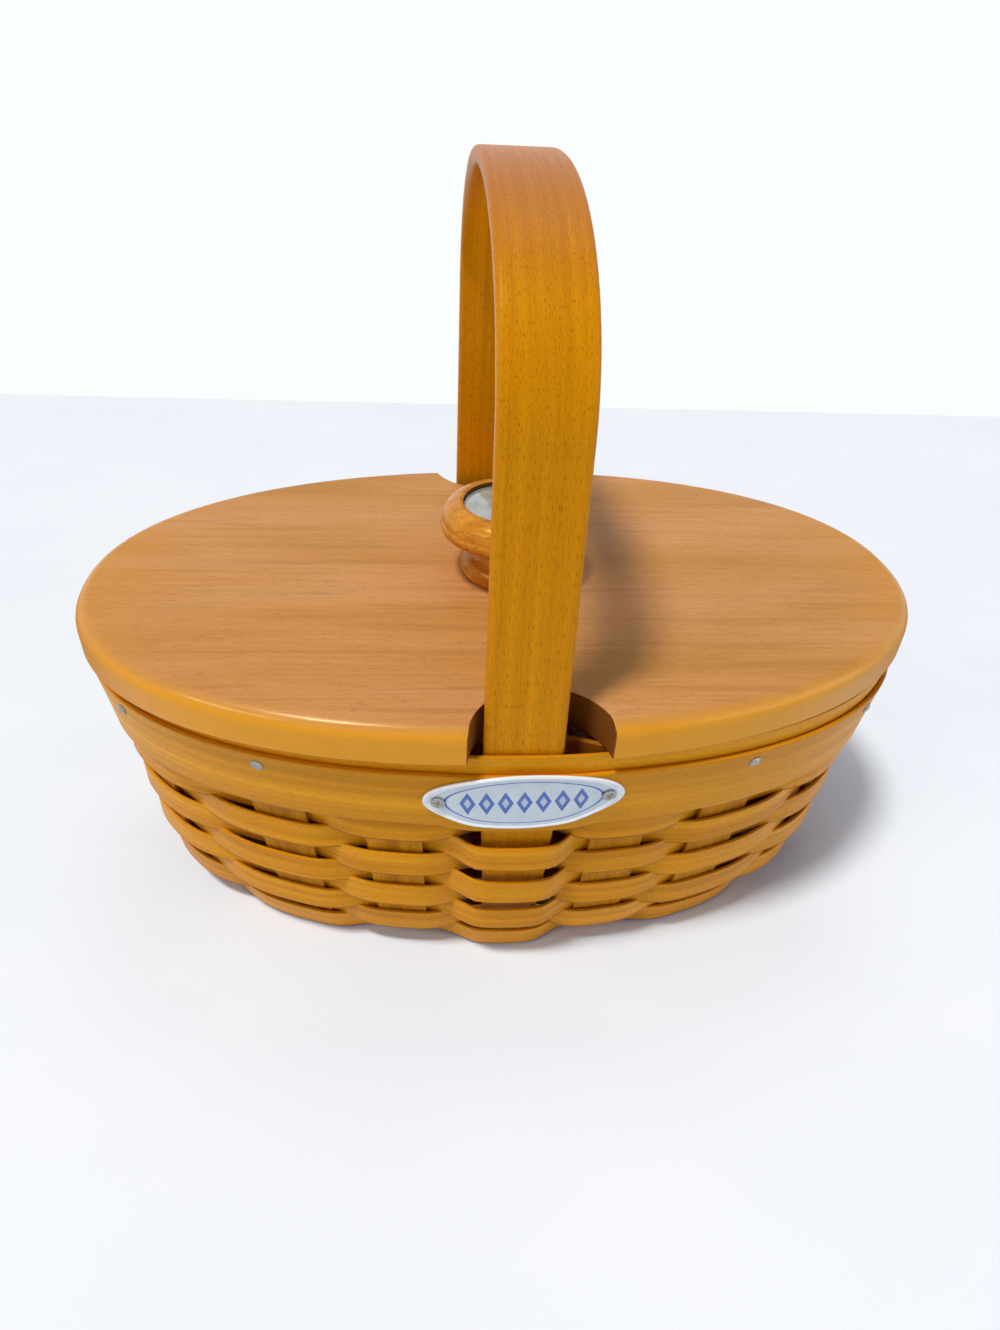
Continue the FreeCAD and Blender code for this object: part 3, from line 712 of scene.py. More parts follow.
def weaver(row):
    """One row, outside every second upright."""
    chance = random.Random(first_seed + row)
    middle_z = trim_bottom - fit_gap - (row + 0.5) * weaver_pitch - weaver_drop
    side = 1 if row % 2 else -1
    lean = clamp((foot_lean_from - middle_z) / foot_lean_span, 0.0, 1.0)
    waves = [(count, chance.uniform(0, 2 * math.pi), chance.uniform(*rise_sizes)) for count in rise_counts]
    pull = [chance.uniform(*pull_shares) for column in range(columns)]
    leg_flat = leg_half_width(middle_z) + weaver_leg_room
    leg_end = cross_place(1, middle_z) / 2 + weaver_leg_reach

    def place(share, out, up):
        turn = turn_at(share, middle_z)
        u = share * columns
        x = from_leg(wall_point(turn, middle_z, 0.0))
        beside_leg = window(x, leg_flat, leg_end)
        offset = side * weaver_sway * pull[round(u) % columns] * crest(u, weaver_crest)
        if side > 0:
            offset += beside_leg * (leg_stand_out(middle_z) + weaver_over_leg)
            offset += weaver_bow * window(x, 0.0, leg_push_end)
        else:
            offset -= beside_leg * (leg_push_in(middle_z) + weaver_behind_leg)
        rise = sum(size * math.sin(count * 2 * math.pi * share + lag) for count, lag, size in waves)
        point = wall_point(turn, middle_z + up * lean, offset + out)
        return Vector((point.x, point.y, middle_z + up + rise))

    # Only the lower corners are darkened: painted shade under each row
    section = oblong(weaver_thickness, weaver_height, weaver_rounding, levels=2, upper_edge=0.0)
    return strip(section, steps_per_bay * columns, ring_length(middle_z), place, start=row * grain_shift)


for row in range(weaver_rows):
    name = "weaver_row_" + str(row + 1)
    finish_piece(name + "_splint", weaver(row), weaver_wood, "basket", name)

# %% [markdown]
# ## Bands of the rim
# Three bent bands clamp the uprights at the rim: one inside, one outside, and a trim band on the outer
# one, a little lower. A ring could be cut from a tube, but these lean with the wall and bulge over the
# handle's legs, so each is a strip whose every height asks the wall for its own outline.

# %% Bands
band_height = 28.0
inner_band_thickness = 2.2
outer_band_thickness = 1.6
trim_band_thickness = 1.8
outer_band_inside = splint_half + fit_gap
trim_band_inside = outer_band_inside + outer_band_thickness + fit_gap
trim_band_outside = trim_band_inside + trim_band_thickness
band_steps_per_bay = 10


def ring_band(thick, high, top, middle, radius, start):
    """Band round the wall; middle(z, x) is how far outwards its middle lies."""
    centre = top - high / 2

    def place(share, out, up):
        z = centre + up
        turn = turn_at(share, z)
        x = from_leg(wall_point(turn, z, 0.0))
        return wall_point(turn, z, middle(z, x) + out)

    section = oblong(thick, high, radius, levels=4)
    return strip(section, band_steps_per_bay * columns, ring_length(centre), place, start=start)


def inner_middle(z, x):
    depth = splint_half + fit_gap + inner_band_thickness / 2
    return -depth - window(x, leg_push_flat, leg_push_end) * leg_push_in(z)


def outer_middle(z, x):
    return band_offset(z, x, outer_band_inside + outer_band_thickness / 2)


def trim_middle(z, x):
    return band_offset(z, x, trim_band_inside + trim_band_thickness / 2)


inner = ring_band(inner_band_thickness, band_height, rim_height, inner_middle, radius=0.7, start=0)
finish_piece("inner_band_strip", inner, inner_band_wood, "basket", "inner_band")
outer = ring_band(outer_band_thickness, band_height, rim_height, outer_middle, radius=0.5, start=300)
finish_piece("outer_band_strip", outer, band_wood, "basket", "outer_band")
trim = ring_band(trim_band_thickness, trim_band_height, trim_top, trim_middle, radius=0.6, start=700)
finish_piece("trim_band_strip", trim, band_wood, "basket", "trim_band")
print("trim band from", round(trim_bottom, 1), "to", round(trim_top, 1), "mm")

# %% [markdown]
# ## Handle
# The handle is one strap, bent while it was hot. Its legs run down inside the outer band, come out
# through the wall below it, and end in a thin tapered tongue under the lowest weavers. A flat bar with
# a Bend modifier would give only a round arch. As a strip along its own line, from one leg's end over
# the top to the other's, it takes the real arch and thins and narrows along its legs.

# %% Line of the handle
handle_height = 264.4
arch_power = 2.2
arch_spring_height = 207.0
arch_half_depth = 82.5
leg_steps = 34
rise_steps = 24
arch_steps = 48


def handle_line():
    """Outer face of the strap from the front leg's end over the top to the back leg's end."""
    half = []
    for step in range(leg_steps):
        z = leg_end_height + (rim_height - leg_end_height) * step / leg_steps
        half.append((half_depth(z) + splint_half + leg_stand_out(z), z))
    rim_y = rim_half_depth + splint_half
    for step in range(rise_steps):
        share = step / rise_steps
        z = rim_height + (arch_spring_height - rim_height) * share
        half.append((rim_y + (arch_half_depth - rim_y) * share, z))
    for step in range(arch_steps + 1):
        turn = math.pi / 2 * step / arch_steps
        y = arch_half_depth * abs(math.cos(turn)) ** (2 / arch_power)
        z = arch_spring_height + (handle_height - arch_spring_height) * math.sin(turn) ** (2 / arch_power)
        half.append((y if step < arch_steps else 0.0, z))
    return [Vector((0, -y, z)) for y, z in half] + [Vector((0, y, z)) for y, z in reversed(half[:-1])]


line = handle_line()
line_length = sum((b - a).length for a, b in zip(line, line[1:]))
print("handle: strap of", round(line_length), "mm, top at", handle_height)

# %% Handle
handle_rounding = 1.7


def handle_place(share, out, up):
    """Place on the strap, which thins and narrows along its legs."""
    index = round(share * (len(line) - 1))
    spot = line[index]
    along = (line[min(index + 1, len(line) - 1)] - line[max(index - 1, 0)]).normalized()
    inwards = Vector((0, along.z, -along.y))
    thick = leg_thickness(spot.z)
    point = spot + inwards * (thick / 2 - out * thick / handle_thickness)
    x = up * 2 * leg_half_width(spot.z) / handle_width
    return Vector((x - point.y * leg_skew, point.y, point.z))


section = oblong(handle_thickness, handle_width, handle_rounding, levels=4, steps=4)
strap = strip(section, len(line) - 1, line_length, handle_place, closed=False)
finish_piece("handle_strap", strap, handle_wood, "basket", "handle")

# %% [markdown]
# ## Lid
# The lid is one oval board with a rounded top edge and a round notch at each side, so that it can be
# lifted past the handle. Its whole outline could be drawn with the notches in it, but then rounding
# the top edge would round them too, and a bored notch has sharp edges. So it is made in a workshop's
# order: sawn, rounded, bored, and the bored edges eased with a touch of sandpaper.

# %% Lid blank
lid_half_length = 155.5
lid_half_depth = 93.3
lid_power = 2.15
lid_thickness = 13.7
lid_top_rounding = 5.5
lid_under_rounding = 0.8
outline_points = 240


def lid_blank():
    """Sawn and rounded board, before its notches."""
    bm = bmesh.new()
    bmesh.ops.create_circle(bm, cap_ends=True, segments=outline_points, radius=1.0)
    for v in bm.verts:
        x, y, nx, ny = oval_point(lid_half_length, lid_half_depth, math.atan2(v.co.y, v.co.x), lid_power)
        v.co = Vector((x, y, 0)) * MM
    grown = bmesh.ops.extrude_face_region(bm, geom=bm.faces[:])
    raised = [g for g in grown["geom"] if isinstance(g, bmesh.types.BMVert)]
    bmesh.ops.translate(bm, verts=raised, vec=(0, 0, lid_thickness * MM))
    bmesh.ops.recalc_face_normals(bm, faces=bm.faces)
    for height, radius, segments in ((lid_thickness, lid_top_rounding, 8), (0.0, lid_under_rounding, 3)):
        ring = []
        for edge in bm.edges:
            if len(edge.link_faces) == 2 and all(abs(v.co.z - height * MM) < 1e-6 for v in edge.verts):
                ring.append(edge)
        bmesh.ops.bevel(bm, geom=ring, offset=radius * MM, offset_type="OFFSET", segments=segments,
                        profile=0.5, affect="EDGES", material=-1)
    return bm


def loose_object(name, bm):
    """Object of a bmesh that stands for no node: a blank, a tool or the table."""
    mesh = bpy.data.meshes.new(name)
    bm.to_mesh(mesh)
    bm.free()
    thing = bpy.data.objects.new(name, mesh)
    bpy.context.scene.collection.objects.link(thing)
    return thing


board = loose_object("lid_blank", lid_blank())
print("lid blank:", len(board.data.polygons), "faces")

# %% Boring the notches
notch_radius = 22.6
notch_depth = 20.8
notch_middle = lid_half_depth - notch_depth + notch_radius
bar_length = 60.0


def notch_bar(side):
    """Round bar that bores one notch."""
    bm = bmesh.new()
    bmesh.ops.create_cone(bm, cap_ends=True, segments=72, radius1=notch_radius * MM,
                          radius2=notch_radius * MM, depth=bar_length * MM)
    bmesh.ops.translate(bm, verts=bm.verts, vec=(0, side * notch_middle * MM, 0))
    return loose_object("notch_bar", bm)


def bored_board(board):
    """Mesh of the board with both notches bored; board and bars are taken away."""
    bars = [notch_bar(side) for side in (-1, 1)]
    for bar in bars:
        cut = board.modifiers.new("notch", "BOOLEAN")
        cut.operation = "DIFFERENCE"
        cut.solver = "EXACT"
        cut.object = bar
    bpy.context.view_layer.update()
    cut_mesh = bpy.data.meshes.new_from_object(board.evaluated_get(bpy.context.evaluated_depsgraph_get()))
    bm = bmesh.new()
    bm.from_mesh(cut_mesh)
    for thing in bars + [board]:
        bpy.data.objects.remove(thing)
    bmesh.ops.remove_doubles(bm, verts=bm.verts, dist=0.002 * MM)
    return bm


lid = bored_board(board)
print("lid with its notches:", len(lid.faces), "faces")

# %% Easing and laying the lid
sharp_angle = math.radians(60)
sanded = 0.35
bore_reach = notch_radius + 0.3
seat_gap = 0.1
lid_shift = Vector((2.4, 1.0, 0))
lid_underside = rim_height + seat_gap
lid_place = Matrix.Translation((lid_shift + Vector((0, 0, lid_underside))) * MM)
lid_matrix = lid_place @ Matrix.Rotation(lid_turn, 4, "Z")

sharp = [e for e in lid.edges if len(e.link_faces) == 2 and e.calc_face_angle(0) > sharp_angle]
print("lid: eased", len(sharp), "bored edges")
bmesh.ops.bevel(lid, geom=sharp, offset=sanded * MM, offset_type="OFFSET", segments=2, profile=0.5,
                affect="EDGES", clamp_overlap=True, material=-1)
bmesh.ops.recalc_face_normals(lid, faces=lid.faces)
# Faces of the bored walls carry the attribute that the wood reads
bored = lid.loops.layers.float.new("bored")
for face in lid.faces:
    middle = face.calc_center_median()
    away = math.hypot(middle.x, abs(middle.y) - notch_middle * MM)
    if abs(face.normal.z) < 0.5 and away < bore_reach * MM:
        for loop in face.loops:
            loop[bored] = 1.0
bmesh.ops.transform(lid, matrix=lid_matrix, verts=lid.verts)
finish_piece("lid_plank", lid, lid_wood, "lid", "lid_board")

# %% [markdown]
# ## Knob and its insert
# The knob is turned on a lathe: a foot, a waist and a wide cap with a recess, in which a domed glazed
# disc lies. Cylinders and spheres could be stacked and joined, but a lathe is what Spin does: half of
# the outline goes once round the axis. The outline is drawn with arcs through three points, as a
# turner's gauge would check it.

# %% Turning
def turned(profile, segments=72):
    """Closed piece turned about Z from (radius, height) points that start and end on the axis."""
    bm = bmesh.new()
    points = [bm.verts.new(Vector((radius, 0, height)) * MM) for radius, height in profile]
    edges = [bm.edges.new(pair) for pair in zip(points, points[1:])]
    bmesh.ops.spin(bm, geom=points + edges, cent=(0, 0, 0), axis=(0, 0, 1), angle=2 * math.pi,
                   steps=segments, use_merge=True)
    bmesh.ops.remove_doubles(bm, verts=bm.verts, dist=0.002 * MM)
    bmesh.ops.recalc_face_normals(bm, faces=bm.faces)
    return bm


def arc_points(first, through, last, count):
    """Points along the arc through three points, without its first one."""
    ax, ay = first
    bx, by = through
    cx, cy = last
    d = 2 * (ax * (by - cy) + bx * (cy - ay) + cx * (ay - by))
    ux = ((ax**2 + ay**2) * (by - cy) + (bx**2 + by**2) * (cy - ay) + (cx**2 + cy**2) * (ay - by)) / d
    uy = ((ax**2 + ay**2) * (cx - bx) + (bx**2 + by**2) * (ax - cx) + (cx**2 + cy**2) * (bx - ax)) / d
    radius = math.hypot(ax - ux, ay - uy)
    angles = [math.atan2(y - uy, x - ux) for x, y in (first, through, last)]
    sweep = (angles[2] - angles[0]) % math.tau
    if (angles[1] - angles[0]) % math.tau > sweep:
        sweep -= math.tau
    angles = [angles[0] + sweep * i / count for i in range(1, count + 1)]
    return [(ux + radius * math.cos(angle), uy + radius * math.sin(angle)) for angle in angles]


knob_matrix = lid_matrix @ Matrix.Translation((0, 0, lid_thickness * MM))
print("knob stands on the lid at", round(lid_underside + lid_thickness, 1), "mm")

# %% Outline of the knob
knob_foot_radius = 17.8
knob_foot_height = 7.4
knob_foot_edge = 1.6
knob_foot_support = 1.0
knob_waist_radius = 12.4
knob_waist_height = 3.4
knob_cap_radius = 25.4
knob_cap_height = 20.0
knob_rim_width = 1.4
knob_height = 28.8
recess_radius = 17.2
recess_depth = 3.2
recess_easing = 0.3

foot_bottom = (knob_foot_radius - knob_foot_edge, 0)
foot_middle = (knob_foot_radius, knob_foot_height / 2)
foot_top = (knob_foot_radius - 2 * knob_foot_edge, knob_foot_height)
waist = (knob_waist_radius, knob_foot_height + knob_waist_height)
cove_top = (foot_top[0], knob_foot_height + 2 * knob_waist_height)
# The cap's edge bulges over a third of the way from the cove to the widest place, above and below it
edge_drop = (knob_cap_height - cove_top[1]) / 3
under_edge = (knob_cap_radius - edge_drop / 3, knob_cap_height - edge_drop)
under_middle = ((cove_top[0] + under_edge[0]) / 2, cove_top[1] + edge_drop / 2)
cap_edge = (knob_cap_radius, knob_cap_height)
over_edge = (under_edge[0], knob_cap_height + edge_drop)
rim_outside = (recess_radius + knob_rim_width, knob_height)
bow = (knob_height - over_edge[1]) / 4
shoulder = ((over_edge[0] + rim_outside[0]) / 2 + bow / 2, (over_edge[1] + rim_outside[1]) / 2 + bow)

knob_profile = [(0, 0), (foot_bottom[0] - knob_foot_support, 0), foot_bottom]
knob_profile += arc_points(foot_bottom, foot_middle, foot_top, 10)
knob_profile += arc_points(foot_top, waist, cove_top, 12)
knob_profile += arc_points(cove_top, under_middle, under_edge, 8)
knob_profile += arc_points(under_edge, cap_edge, over_edge, 8)
knob_profile += arc_points(over_edge, shoulder, rim_outside, 10)
knob_profile += [(recess_radius + recess_easing, knob_height), (recess_radius, knob_height - recess_easing)]
knob_profile += [(recess_radius, knob_height - recess_depth), (0, knob_height - recess_depth)]
print("knob:", knob_cap_radius * 2, "mm across,", len(knob_profile), "points in its outline")

# %% Knob
knob = turned(knob_profile)
# Painted shade: the wall of the recess round the insert is darkened, where the gap beside the lower insert
# lies in shade
recess_shade_reach = recess_radius + 0.1
stained = knob.verts.layers.float.new("edge")
for v in knob.verts:
    if math.hypot(v.co.x, v.co.y) < recess_shade_reach * MM and v.co.z > knob_cap_height * MM:
        v[stained] = 1.0
bmesh.ops.transform(knob, matrix=knob_matrix, verts=knob.verts)
finish_piece("knob_turned", knob, knob_wood, "lid", "knob")

# %% Insert and screw
insert_room = 0.3
insert_wall = 1.5
insert_foot = 0.4
insert_shoulder = 0.2
insert_easing = 0.12
insert_rise = 2.6
insert_dip = 0.02
insert_steps = 14
insert_radius = recess_radius - insert_room
insert_bottom = knob_height - recess_depth + seat_gap
insert_edge = insert_bottom + insert_wall

insert_profile = [(0, insert_bottom), (insert_radius - insert_foot, insert_bottom)]
insert_profile += [(insert_radius, insert_bottom + insert_foot)]
insert_profile += [(insert_radius, insert_edge - insert_shoulder)]
insert_profile += [(insert_radius - insert_easing, insert_edge)]
ball = (insert_radius ** 2 + insert_rise ** 2) / (2 * insert_rise)
for step in range(1, insert_steps + 1):
    radius = (insert_radius - insert_easing) * (1 - step / insert_steps)
    height = insert_edge + insert_rise - ball + math.sqrt(ball ** 2 - radius ** 2)
    insert_profile.append((radius, height - insert_dip))

insert = turned(insert_profile)
bmesh.ops.transform(insert, matrix=knob_matrix, verts=insert.verts)
finish_piece("knob_insert_turned", insert, insert_glaze, "lid", "knob_insert")
dress("knob_screw", fastener_steel)

# %% [markdown]
# ## Plate
# The oval plate is bent to the front of the trim band, in front of the leg, and screwed on a little
# askew. A flat oval bent by a modifier would miss the bulge over the leg. So a grid is rolled up into
# rings, from the middle out over the raised edge and back underneath, and each point is then laid on
# the band.

# %% Rings of the plate
plate_shift = 3.8
plate_screw_place = 27.2
plate_thickness = 1.1
plate_field = 0.72
plate_edge_width = 1.5
plate_raise = 2.0
plate_middle_height = (trim_top + trim_bottom) / 2 + plate_raise
plate_tilt = math.radians(2.4)
plate_points = 96
# How far in from the outline, and how far out from the band, the raised edge goes
edge_steps = ((plate_edge_width, plate_field), (1.3, 0.8), (1.0, 1.02), (0.7, plate_thickness),
              (0.35, 1.06), (0.1, 0.9), (0.0, 0.6), (0.0, 0.1), (0.3, 0.0))


def plate_rings():
    """Half length, half height and stand-out of each ring."""
    rings = [(share, plate_edge_width, plate_field) for share in (0.0, 0.25, 0.5, 0.75, 0.92)]
    rings += [(1.0, inset, out) for inset, out in edge_steps]
    rings += [(share, plate_edge_width, 0.0) for share in (0.6, 0.0)]
    return [((plate_width / 2 - inset) * share, (plate_height / 2 - inset) * share, out)
            for share, inset, out in rings]


print("plate:", len(plate_rings()), "rings")


# %% Plate
def front_point(x, z, offset):
    """Point in front of the wall by its place along X; offset(z, x) is how far it stands out."""
    a = half_length(z)
    turn = -math.acos(math.copysign((abs(x) / a) ** (plan_power / 2), x))
    here = wall_point(turn, z, 0.0)
    return wall_point(turn, z, offset(z, from_leg(here)))


def plate():
    """Grid rolled up into the plate's rings, each point then laid on the band."""
    rings = plate_rings()
    bm = bmesh.new()
    bmesh.ops.create_grid(bm, x_segments=plate_points, y_segments=len(rings) - 1, size=1.0)
    face_place = bm.loops.layers.uv.new("place")
    spots = {}
    for v in bm.verts:
        turn = math.pi * (v.co.x + 1)
        a, b, out = rings[round((v.co.y + 1) / 2 * (len(rings) - 1))]
        spots[v] = (a * math.cos(turn), b * math.sin(turn), out)
    for face in bm.faces:
        for loop in face.loops:
            x, z, out = spots[loop.vert]
            loop[face_place].uv = (x * MM, z * MM)
    for v, (x, z, out) in spots.items():
        start = trim_band_outside + seat_gap + out
        along = x * math.cos(plate_tilt) - z * math.sin(plate_tilt)
        rise = x * math.sin(plate_tilt) + z * math.cos(plate_tilt)
        v.co = front_point(plate_shift + along, plate_middle_height + rise,
                           lambda h, leg: band_offset(h, leg, start)) * MM
    bmesh.ops.remove_doubles(bm, verts=bm.verts, dist=0.001 * MM)
    bmesh.ops.recalc_face_normals(bm, faces=bm.faces)
    return bm


finish_piece("name_plate_enamelled", plate(), plate_enamel, "basket", "name_plate")

# %% [markdown]
# ## Tacks and screws
# Small domed tacks pin the bands to the uprights, and two cross-headed screws hold the plate. Each
# could be half of a sphere, but a real head has a short upright rim first. So a circle is extruded up
# and inwards in rings, and a screw's cross is sunk where two bars of its rings lie. Each head stands
# square on the band, which its matrix measures there.

# %% Standing on the band
def turn_along(turn, z, distance):
    """Turn angle at a straight distance round from another, found by halving."""
    start = wall_point(turn, z, 0.0)
    low = 0.0
    high = math.copysign(1.0, distance)
    for step in range(40):
        guess = (low + high) / 2
        if (wall_point(turn + guess, z, 0.0) - start).length < abs(distance):
            low = guess
        else:
            high = guess
    return turn + low


def trim_frame(turn, z, extra):
    """Matrix with its Z square out of the trim band, in metres."""

    def face_point(turn, z):
        x = from_leg(wall_point(turn, z, 0.0))
        return wall_point(turn, z, band_offset(z, x, trim_band_outside + extra))

    side = (face_point(turn + 0.01, z) - face_point(turn - 0.01, z)).normalized()
    rise = face_point(turn, z + 0.5) - face_point(turn, z - 0.5)
    out = side.cross(rise).normalized()
    rotation = Matrix((side, out.cross(side), out)).transposed().to_4x4()
    return Matrix.Translation(face_point(turn, z) * MM) @ rotation


tack_height = 99.5
print("a tack stands out at", [round(part, 3) for part in trim_frame(0.0, tack_height, 0.0).translation])

# %% Heads
head_rim = 0.12
head_rings = (0.94, 0.84, 0.72, 0.6, 0.48, 0.36, 0.24, 0.12)
cross_half_width = 0.36
cross_reach = 0.66
cross_floor = 0.05


def dome(bm, matrix, radius, height, cross=0.0, turn=0.0):
    """Domed head; cross is the depth of a screw's cross recess."""
    ball = (radius ** 2 + height ** 2) / (2 * height)
    placed = list(bmesh.ops.create_circle(bm, cap_ends=False, segments=48, radius=radius * MM)["verts"])
    edges = [e for e in bm.edges if all(v in placed for v in e.verts)]
    for share in (1.0,) + head_rings:
        grown = bmesh.ops.extrude_edge_only(bm, edges=edges)["geom"]
        ring = [g for g in grown if isinstance(g, bmesh.types.BMVert)]
        edges = [g for g in grown if isinstance(g, bmesh.types.BMEdge) and all(v in ring for v in g.verts)]
        for v in ring:
            flat = Vector((v.co.x, v.co.y, 0)).normalized() * radius * share
            z = head_rim if share == 1.0 else height - ball + math.sqrt(ball ** 2 - flat.length_squared)
            on_cross = min(abs(flat.x), abs(flat.y)) < cross_half_width
            if on_cross and flat.length < radius * cross_reach:
                z -= cross
            v.co = Vector((flat.x, flat.y, max(z, cross_floor))) * MM
        placed += ring
    bmesh.ops.edgeloop_fill(bm, edges=edges)
    bmesh.ops.rotate(bm, verts=placed, cent=(0, 0, 0), matrix=Matrix.Rotation(turn, 3, "Z"))
    bmesh.ops.transform(bm, matrix=matrix, verts=placed)


print("a head has", len(head_rings), "rings above its rim")

# %% Tacks and screws
tack_radius = 2.1
screw_radius = 2.4
head_height = 0.9
screw_shift = 0.8
cross_depth = 0.45

beside_legs = (1, columns - 1, back_middle - 1, back_middle + 1)
tack_columns = [column for column in range(1, columns) if column not in beside_legs]
tacks = bmesh.new()
for column in tack_columns:
    matrix = trim_frame(column_turns(tack_height)[column], tack_height, seat_gap)
    dome(tacks, matrix, tack_radius, head_height)
finish_piece("rim_tack_heads", tacks, fastener_steel, "basket", "rim_tacks")

screws = bmesh.new()
for side in (-1, 1):
    screw_height = plate_middle_height + side * plate_screw_place * math.sin(plate_tilt)
    middle_turn = column_turns(screw_height)[0]
    turn = turn_along(middle_turn, screw_height, side * plate_screw_place + screw_shift)
    matrix = trim_frame(turn, screw_height, 2 * seat_gap + plate_thickness)
    # Each screw came to rest at its own turn, in radians
    dome(screws, matrix, screw_radius, head_height, cross=cross_depth, turn=0.5 + 0.7 * side)
finish_piece("plate_screw_heads", screws, fastener_steel, "basket", "plate_screws")
print("tacks:", len(tack_columns), "screws: 2")

# %% [markdown]
# ## Table and room
# The basket stands on a white woven cotton cloth before a white wall. The white could come from strong
# lamps, but they would bleach the wood as well. Instead, rays that see cloth and room directly, or in
# a mirror or a glass, get a share of plain white there, while the light that falls on the object stays
# soft and a little blue, as from a cloudy window. The share fades out near the basket, where the cloth
# keeps the whole of its shadow and is darker round the foot: painted shade.

# %% Cloth
# The share of white goes from none to its most between these distances, in half sizes of the basket;
# nearer in, the cloth is darker, as painted shade round the foot
white_from = 0.9
white_full = 1.9
white_share = 0.42


def seen_directly(tree):
    """1 for a ray from the camera, a mirror or a glass, and 0 for the light on the object."""
    rays = add_node(tree, "ShaderNodeLightPath").outputs
    through = (rays["Is Glossy Ray"], rays["Is Transmission Ray"])
    mirrored = add_node(tree, "ShaderNodeMath", through, {"operation": "MAXIMUM"})
    return add_node(tree, "ShaderNodeMath", (rays["Is Camera Ray"], mirrored), {"operation": "MAXIMUM"})


def cloth_material():
    """Matt cloth; its threads are drawn 1.4 mm wide, coarser than real ones, so that they show."""
    material, tree = empty_material("woven cotton cloth")
    source = add_node(tree, "ShaderNodeTexCoord").outputs["Object"]
    folds = stretched_noise(tree, source, (160, 90, 90), 2)
    weave = stretched_noise(tree, source, (1.4, 1.4, 1.4), 1)
    colour = add_node(tree, "ShaderNodeValToRGB", (folds,), stops=((0.35, "#ebf1f5"), (0.65, "#f2f6f9")))
    bump = add_node(tree, "ShaderNodeBump", {"Strength": 1.0, "Distance": 0.05 * MM, "Height": weave})
    cloth = add_node(tree, "ShaderNodeBsdfPrincipled", {"Base Color": colour, "Roughness": 0.9,
                                                        "Specular IOR Level": 0.1, "Normal": bump})
    glow = add_node(tree, "ShaderNodeEmission", {"Color": linear("#fdfcff"), "Strength": 1.0})
    scale = (1000 / rim_half_length, 1000 / rim_half_depth, 1)
    away = add_node(tree, "ShaderNodeMapping", {"Vector": source, "Scale": scale})
    away = add_node(tree, "ShaderNodeVectorMath", (away,), {"operation": "LENGTH"})
    share = add_node(tree, "ShaderNodeMapRange", (away, white_from, white_full, 0.0, white_share),
                     {"interpolation_type": "SMOOTHSTEP"})
    share = add_node(tree, "ShaderNodeMath", (seen_directly(tree), share), {"operation": "MULTIPLY"})
    both = add_node(tree, "ShaderNodeMixShader", (share, cloth, glow))
    add_node(tree, "ShaderNodeOutputMaterial", {"Surface": both})
    return material


cloth = cloth_material()
print("made:", cloth.name)

# %% Table
table_half = 1600.0
table_far_edge = 522.0

bm = bmesh.new()
bmesh.ops.create_grid(bm, x_segments=1, y_segments=1, size=0.5)
bmesh.ops.scale(bm, vec=(2 * table_half * MM, (table_half + table_far_edge) * MM, 1), verts=bm.verts)
bmesh.ops.translate(bm, vec=(0, (table_far_edge - table_half) / 2 * MM, 0), verts=bm.verts)
table = loose_object("table", bm)
table.data.materials.append(cloth)
print("table:", 2 * table_half, "mm wide, far edge at", table_far_edge, "mm")

# %% World
world = bpy.data.worlds.new("white room")
bpy.context.scene.world = world
world.use_nodes = True
tree = world.node_tree
tree.nodes.clear()
room_light = add_node(tree, "ShaderNodeBackground", {"Color": linear("#d0e3ff"), "Strength": 0.18})
white = add_node(tree, "ShaderNodeBackground", {"Color": linear("#fbfefe"), "Strength": 1.0})
both = add_node(tree, "ShaderNodeMixShader", (seen_directly(tree), room_light, white))
add_node(tree, "ShaderNodeOutputWorld", {"Surface": both})
bpy.context.scene.view_settings.view_transform = "Standard"
print("world:", world.name, "with", len(tree.nodes), "nodes")

# %% [markdown]
# ## Lamps
# Daylight comes high from the front left and throws the handle's soft shadow on the lid. One lamp
# could do that, but the rest of the room would be missing: light from above the back lays a faint
# shadow before the basket's foot, a long low window at the left draws the highlight along the lid's
# rounded edge, and a wide, slightly blue screen at the right keeps the woven wall as bright as the lid.

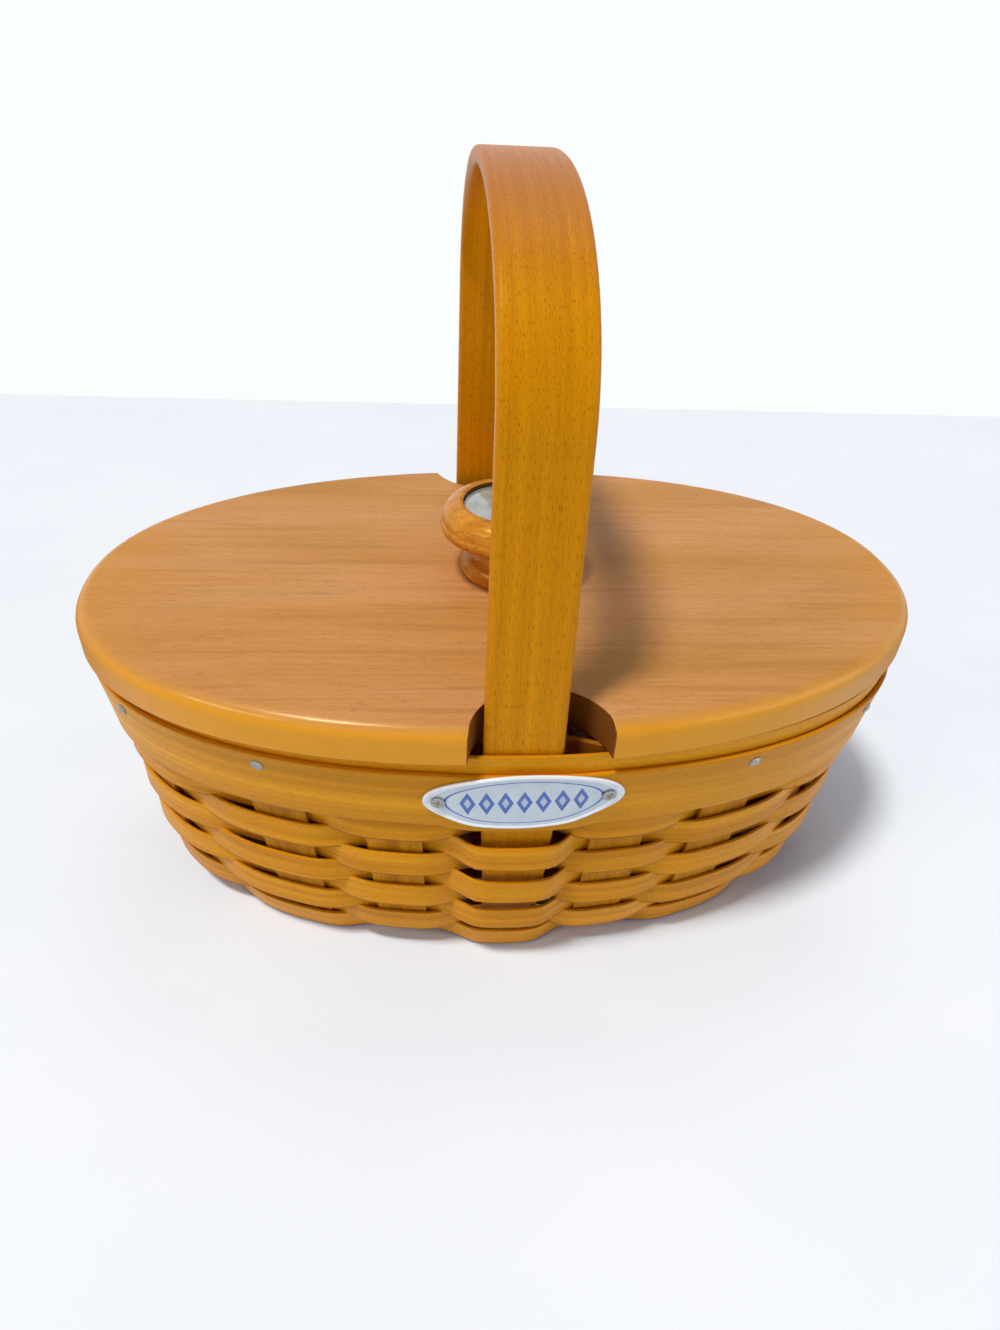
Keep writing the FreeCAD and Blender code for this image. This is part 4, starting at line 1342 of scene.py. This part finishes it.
# %% Lamps
def lamp(name, kind, energy, place, aim, colour="#ffffff"):
    """Lamp at a place that shines towards an aim, both in millimetres."""
    light = bpy.data.lights.new(name, kind)
    light.energy = energy
    light.color = linear(colour)[:3]
    thing = bpy.data.objects.new(name.replace(" ", "_"), light)
    thing.location = Vector(place) * MM
    thing.rotation_euler = (Vector(aim) - Vector(place)).to_track_quat("-Z", "Y").to_euler()
    thing.visible_camera = False
    bpy.context.scene.collection.objects.link(thing)
    return light


# A sun has a direction and a softness, and no place of its own
lamp("window light", "SUN", 2.12, (0, 0, 0), (44, 28, -138)).angle = math.radians(9)
lamp("back light", "SUN", 0.28, (0, 0, 0), (-8, -45, -100)).angle = math.radians(25)
pane = lamp("side window", "AREA", 2.8, (-880, -600, 840), (-50, -60, 120))
screen = lamp("front screen", "AREA", 4.0, (1150, -620, 420), (0, 0, 80), "#e2ebff")
for light, wide, high in ((pane, 500, 180), (screen, 1100, 600)):
    light.shape = "RECTANGLE"
    light.size = wide * MM
    light.size_y = high * MM
print("lamps:", len(bpy.data.lights))

# %% [markdown]
# ## Camera
# The camera stands in front, a little to the left, and looks down on the basket. It could be placed by
# eye, but its place, turn and lens were solved from the outlines of the lid, the handle and the bands
# in a picture of 1000 by 1330, so that the render can be held against that picture.

# %% Camera
frame_height = 1330
focal_pixels = 862.753
yaw, pitch, roll = 0.088, 0.640, 0.054
camera_place = Vector((-23.46, -283.69, 293.22)) * MM

forward = Vector((math.sin(yaw) * math.cos(pitch), math.cos(yaw) * math.cos(pitch), -math.sin(pitch)))
level = Vector((math.cos(yaw), -math.sin(yaw), 0))
upward = level.cross(forward)
right = level * math.cos(roll) + upward * math.sin(roll)
top = upward * math.cos(roll) - level * math.sin(roll)

camera = bpy.data.cameras.new("photo camera")
camera.sensor_fit = "AUTO"
camera.sensor_width = 36
camera.lens = focal_pixels * camera.sensor_width / frame_height
camera.clip_start = 0.01
view = bpy.data.objects.new("photo_camera", camera)
view.matrix_world = Matrix.Translation(camera_place) @ Matrix((right, top, -forward)).transposed().to_4x4()
bpy.context.scene.collection.objects.link(view)
bpy.context.scene.camera = view
print("camera lens:", round(camera.lens, 2), "mm")
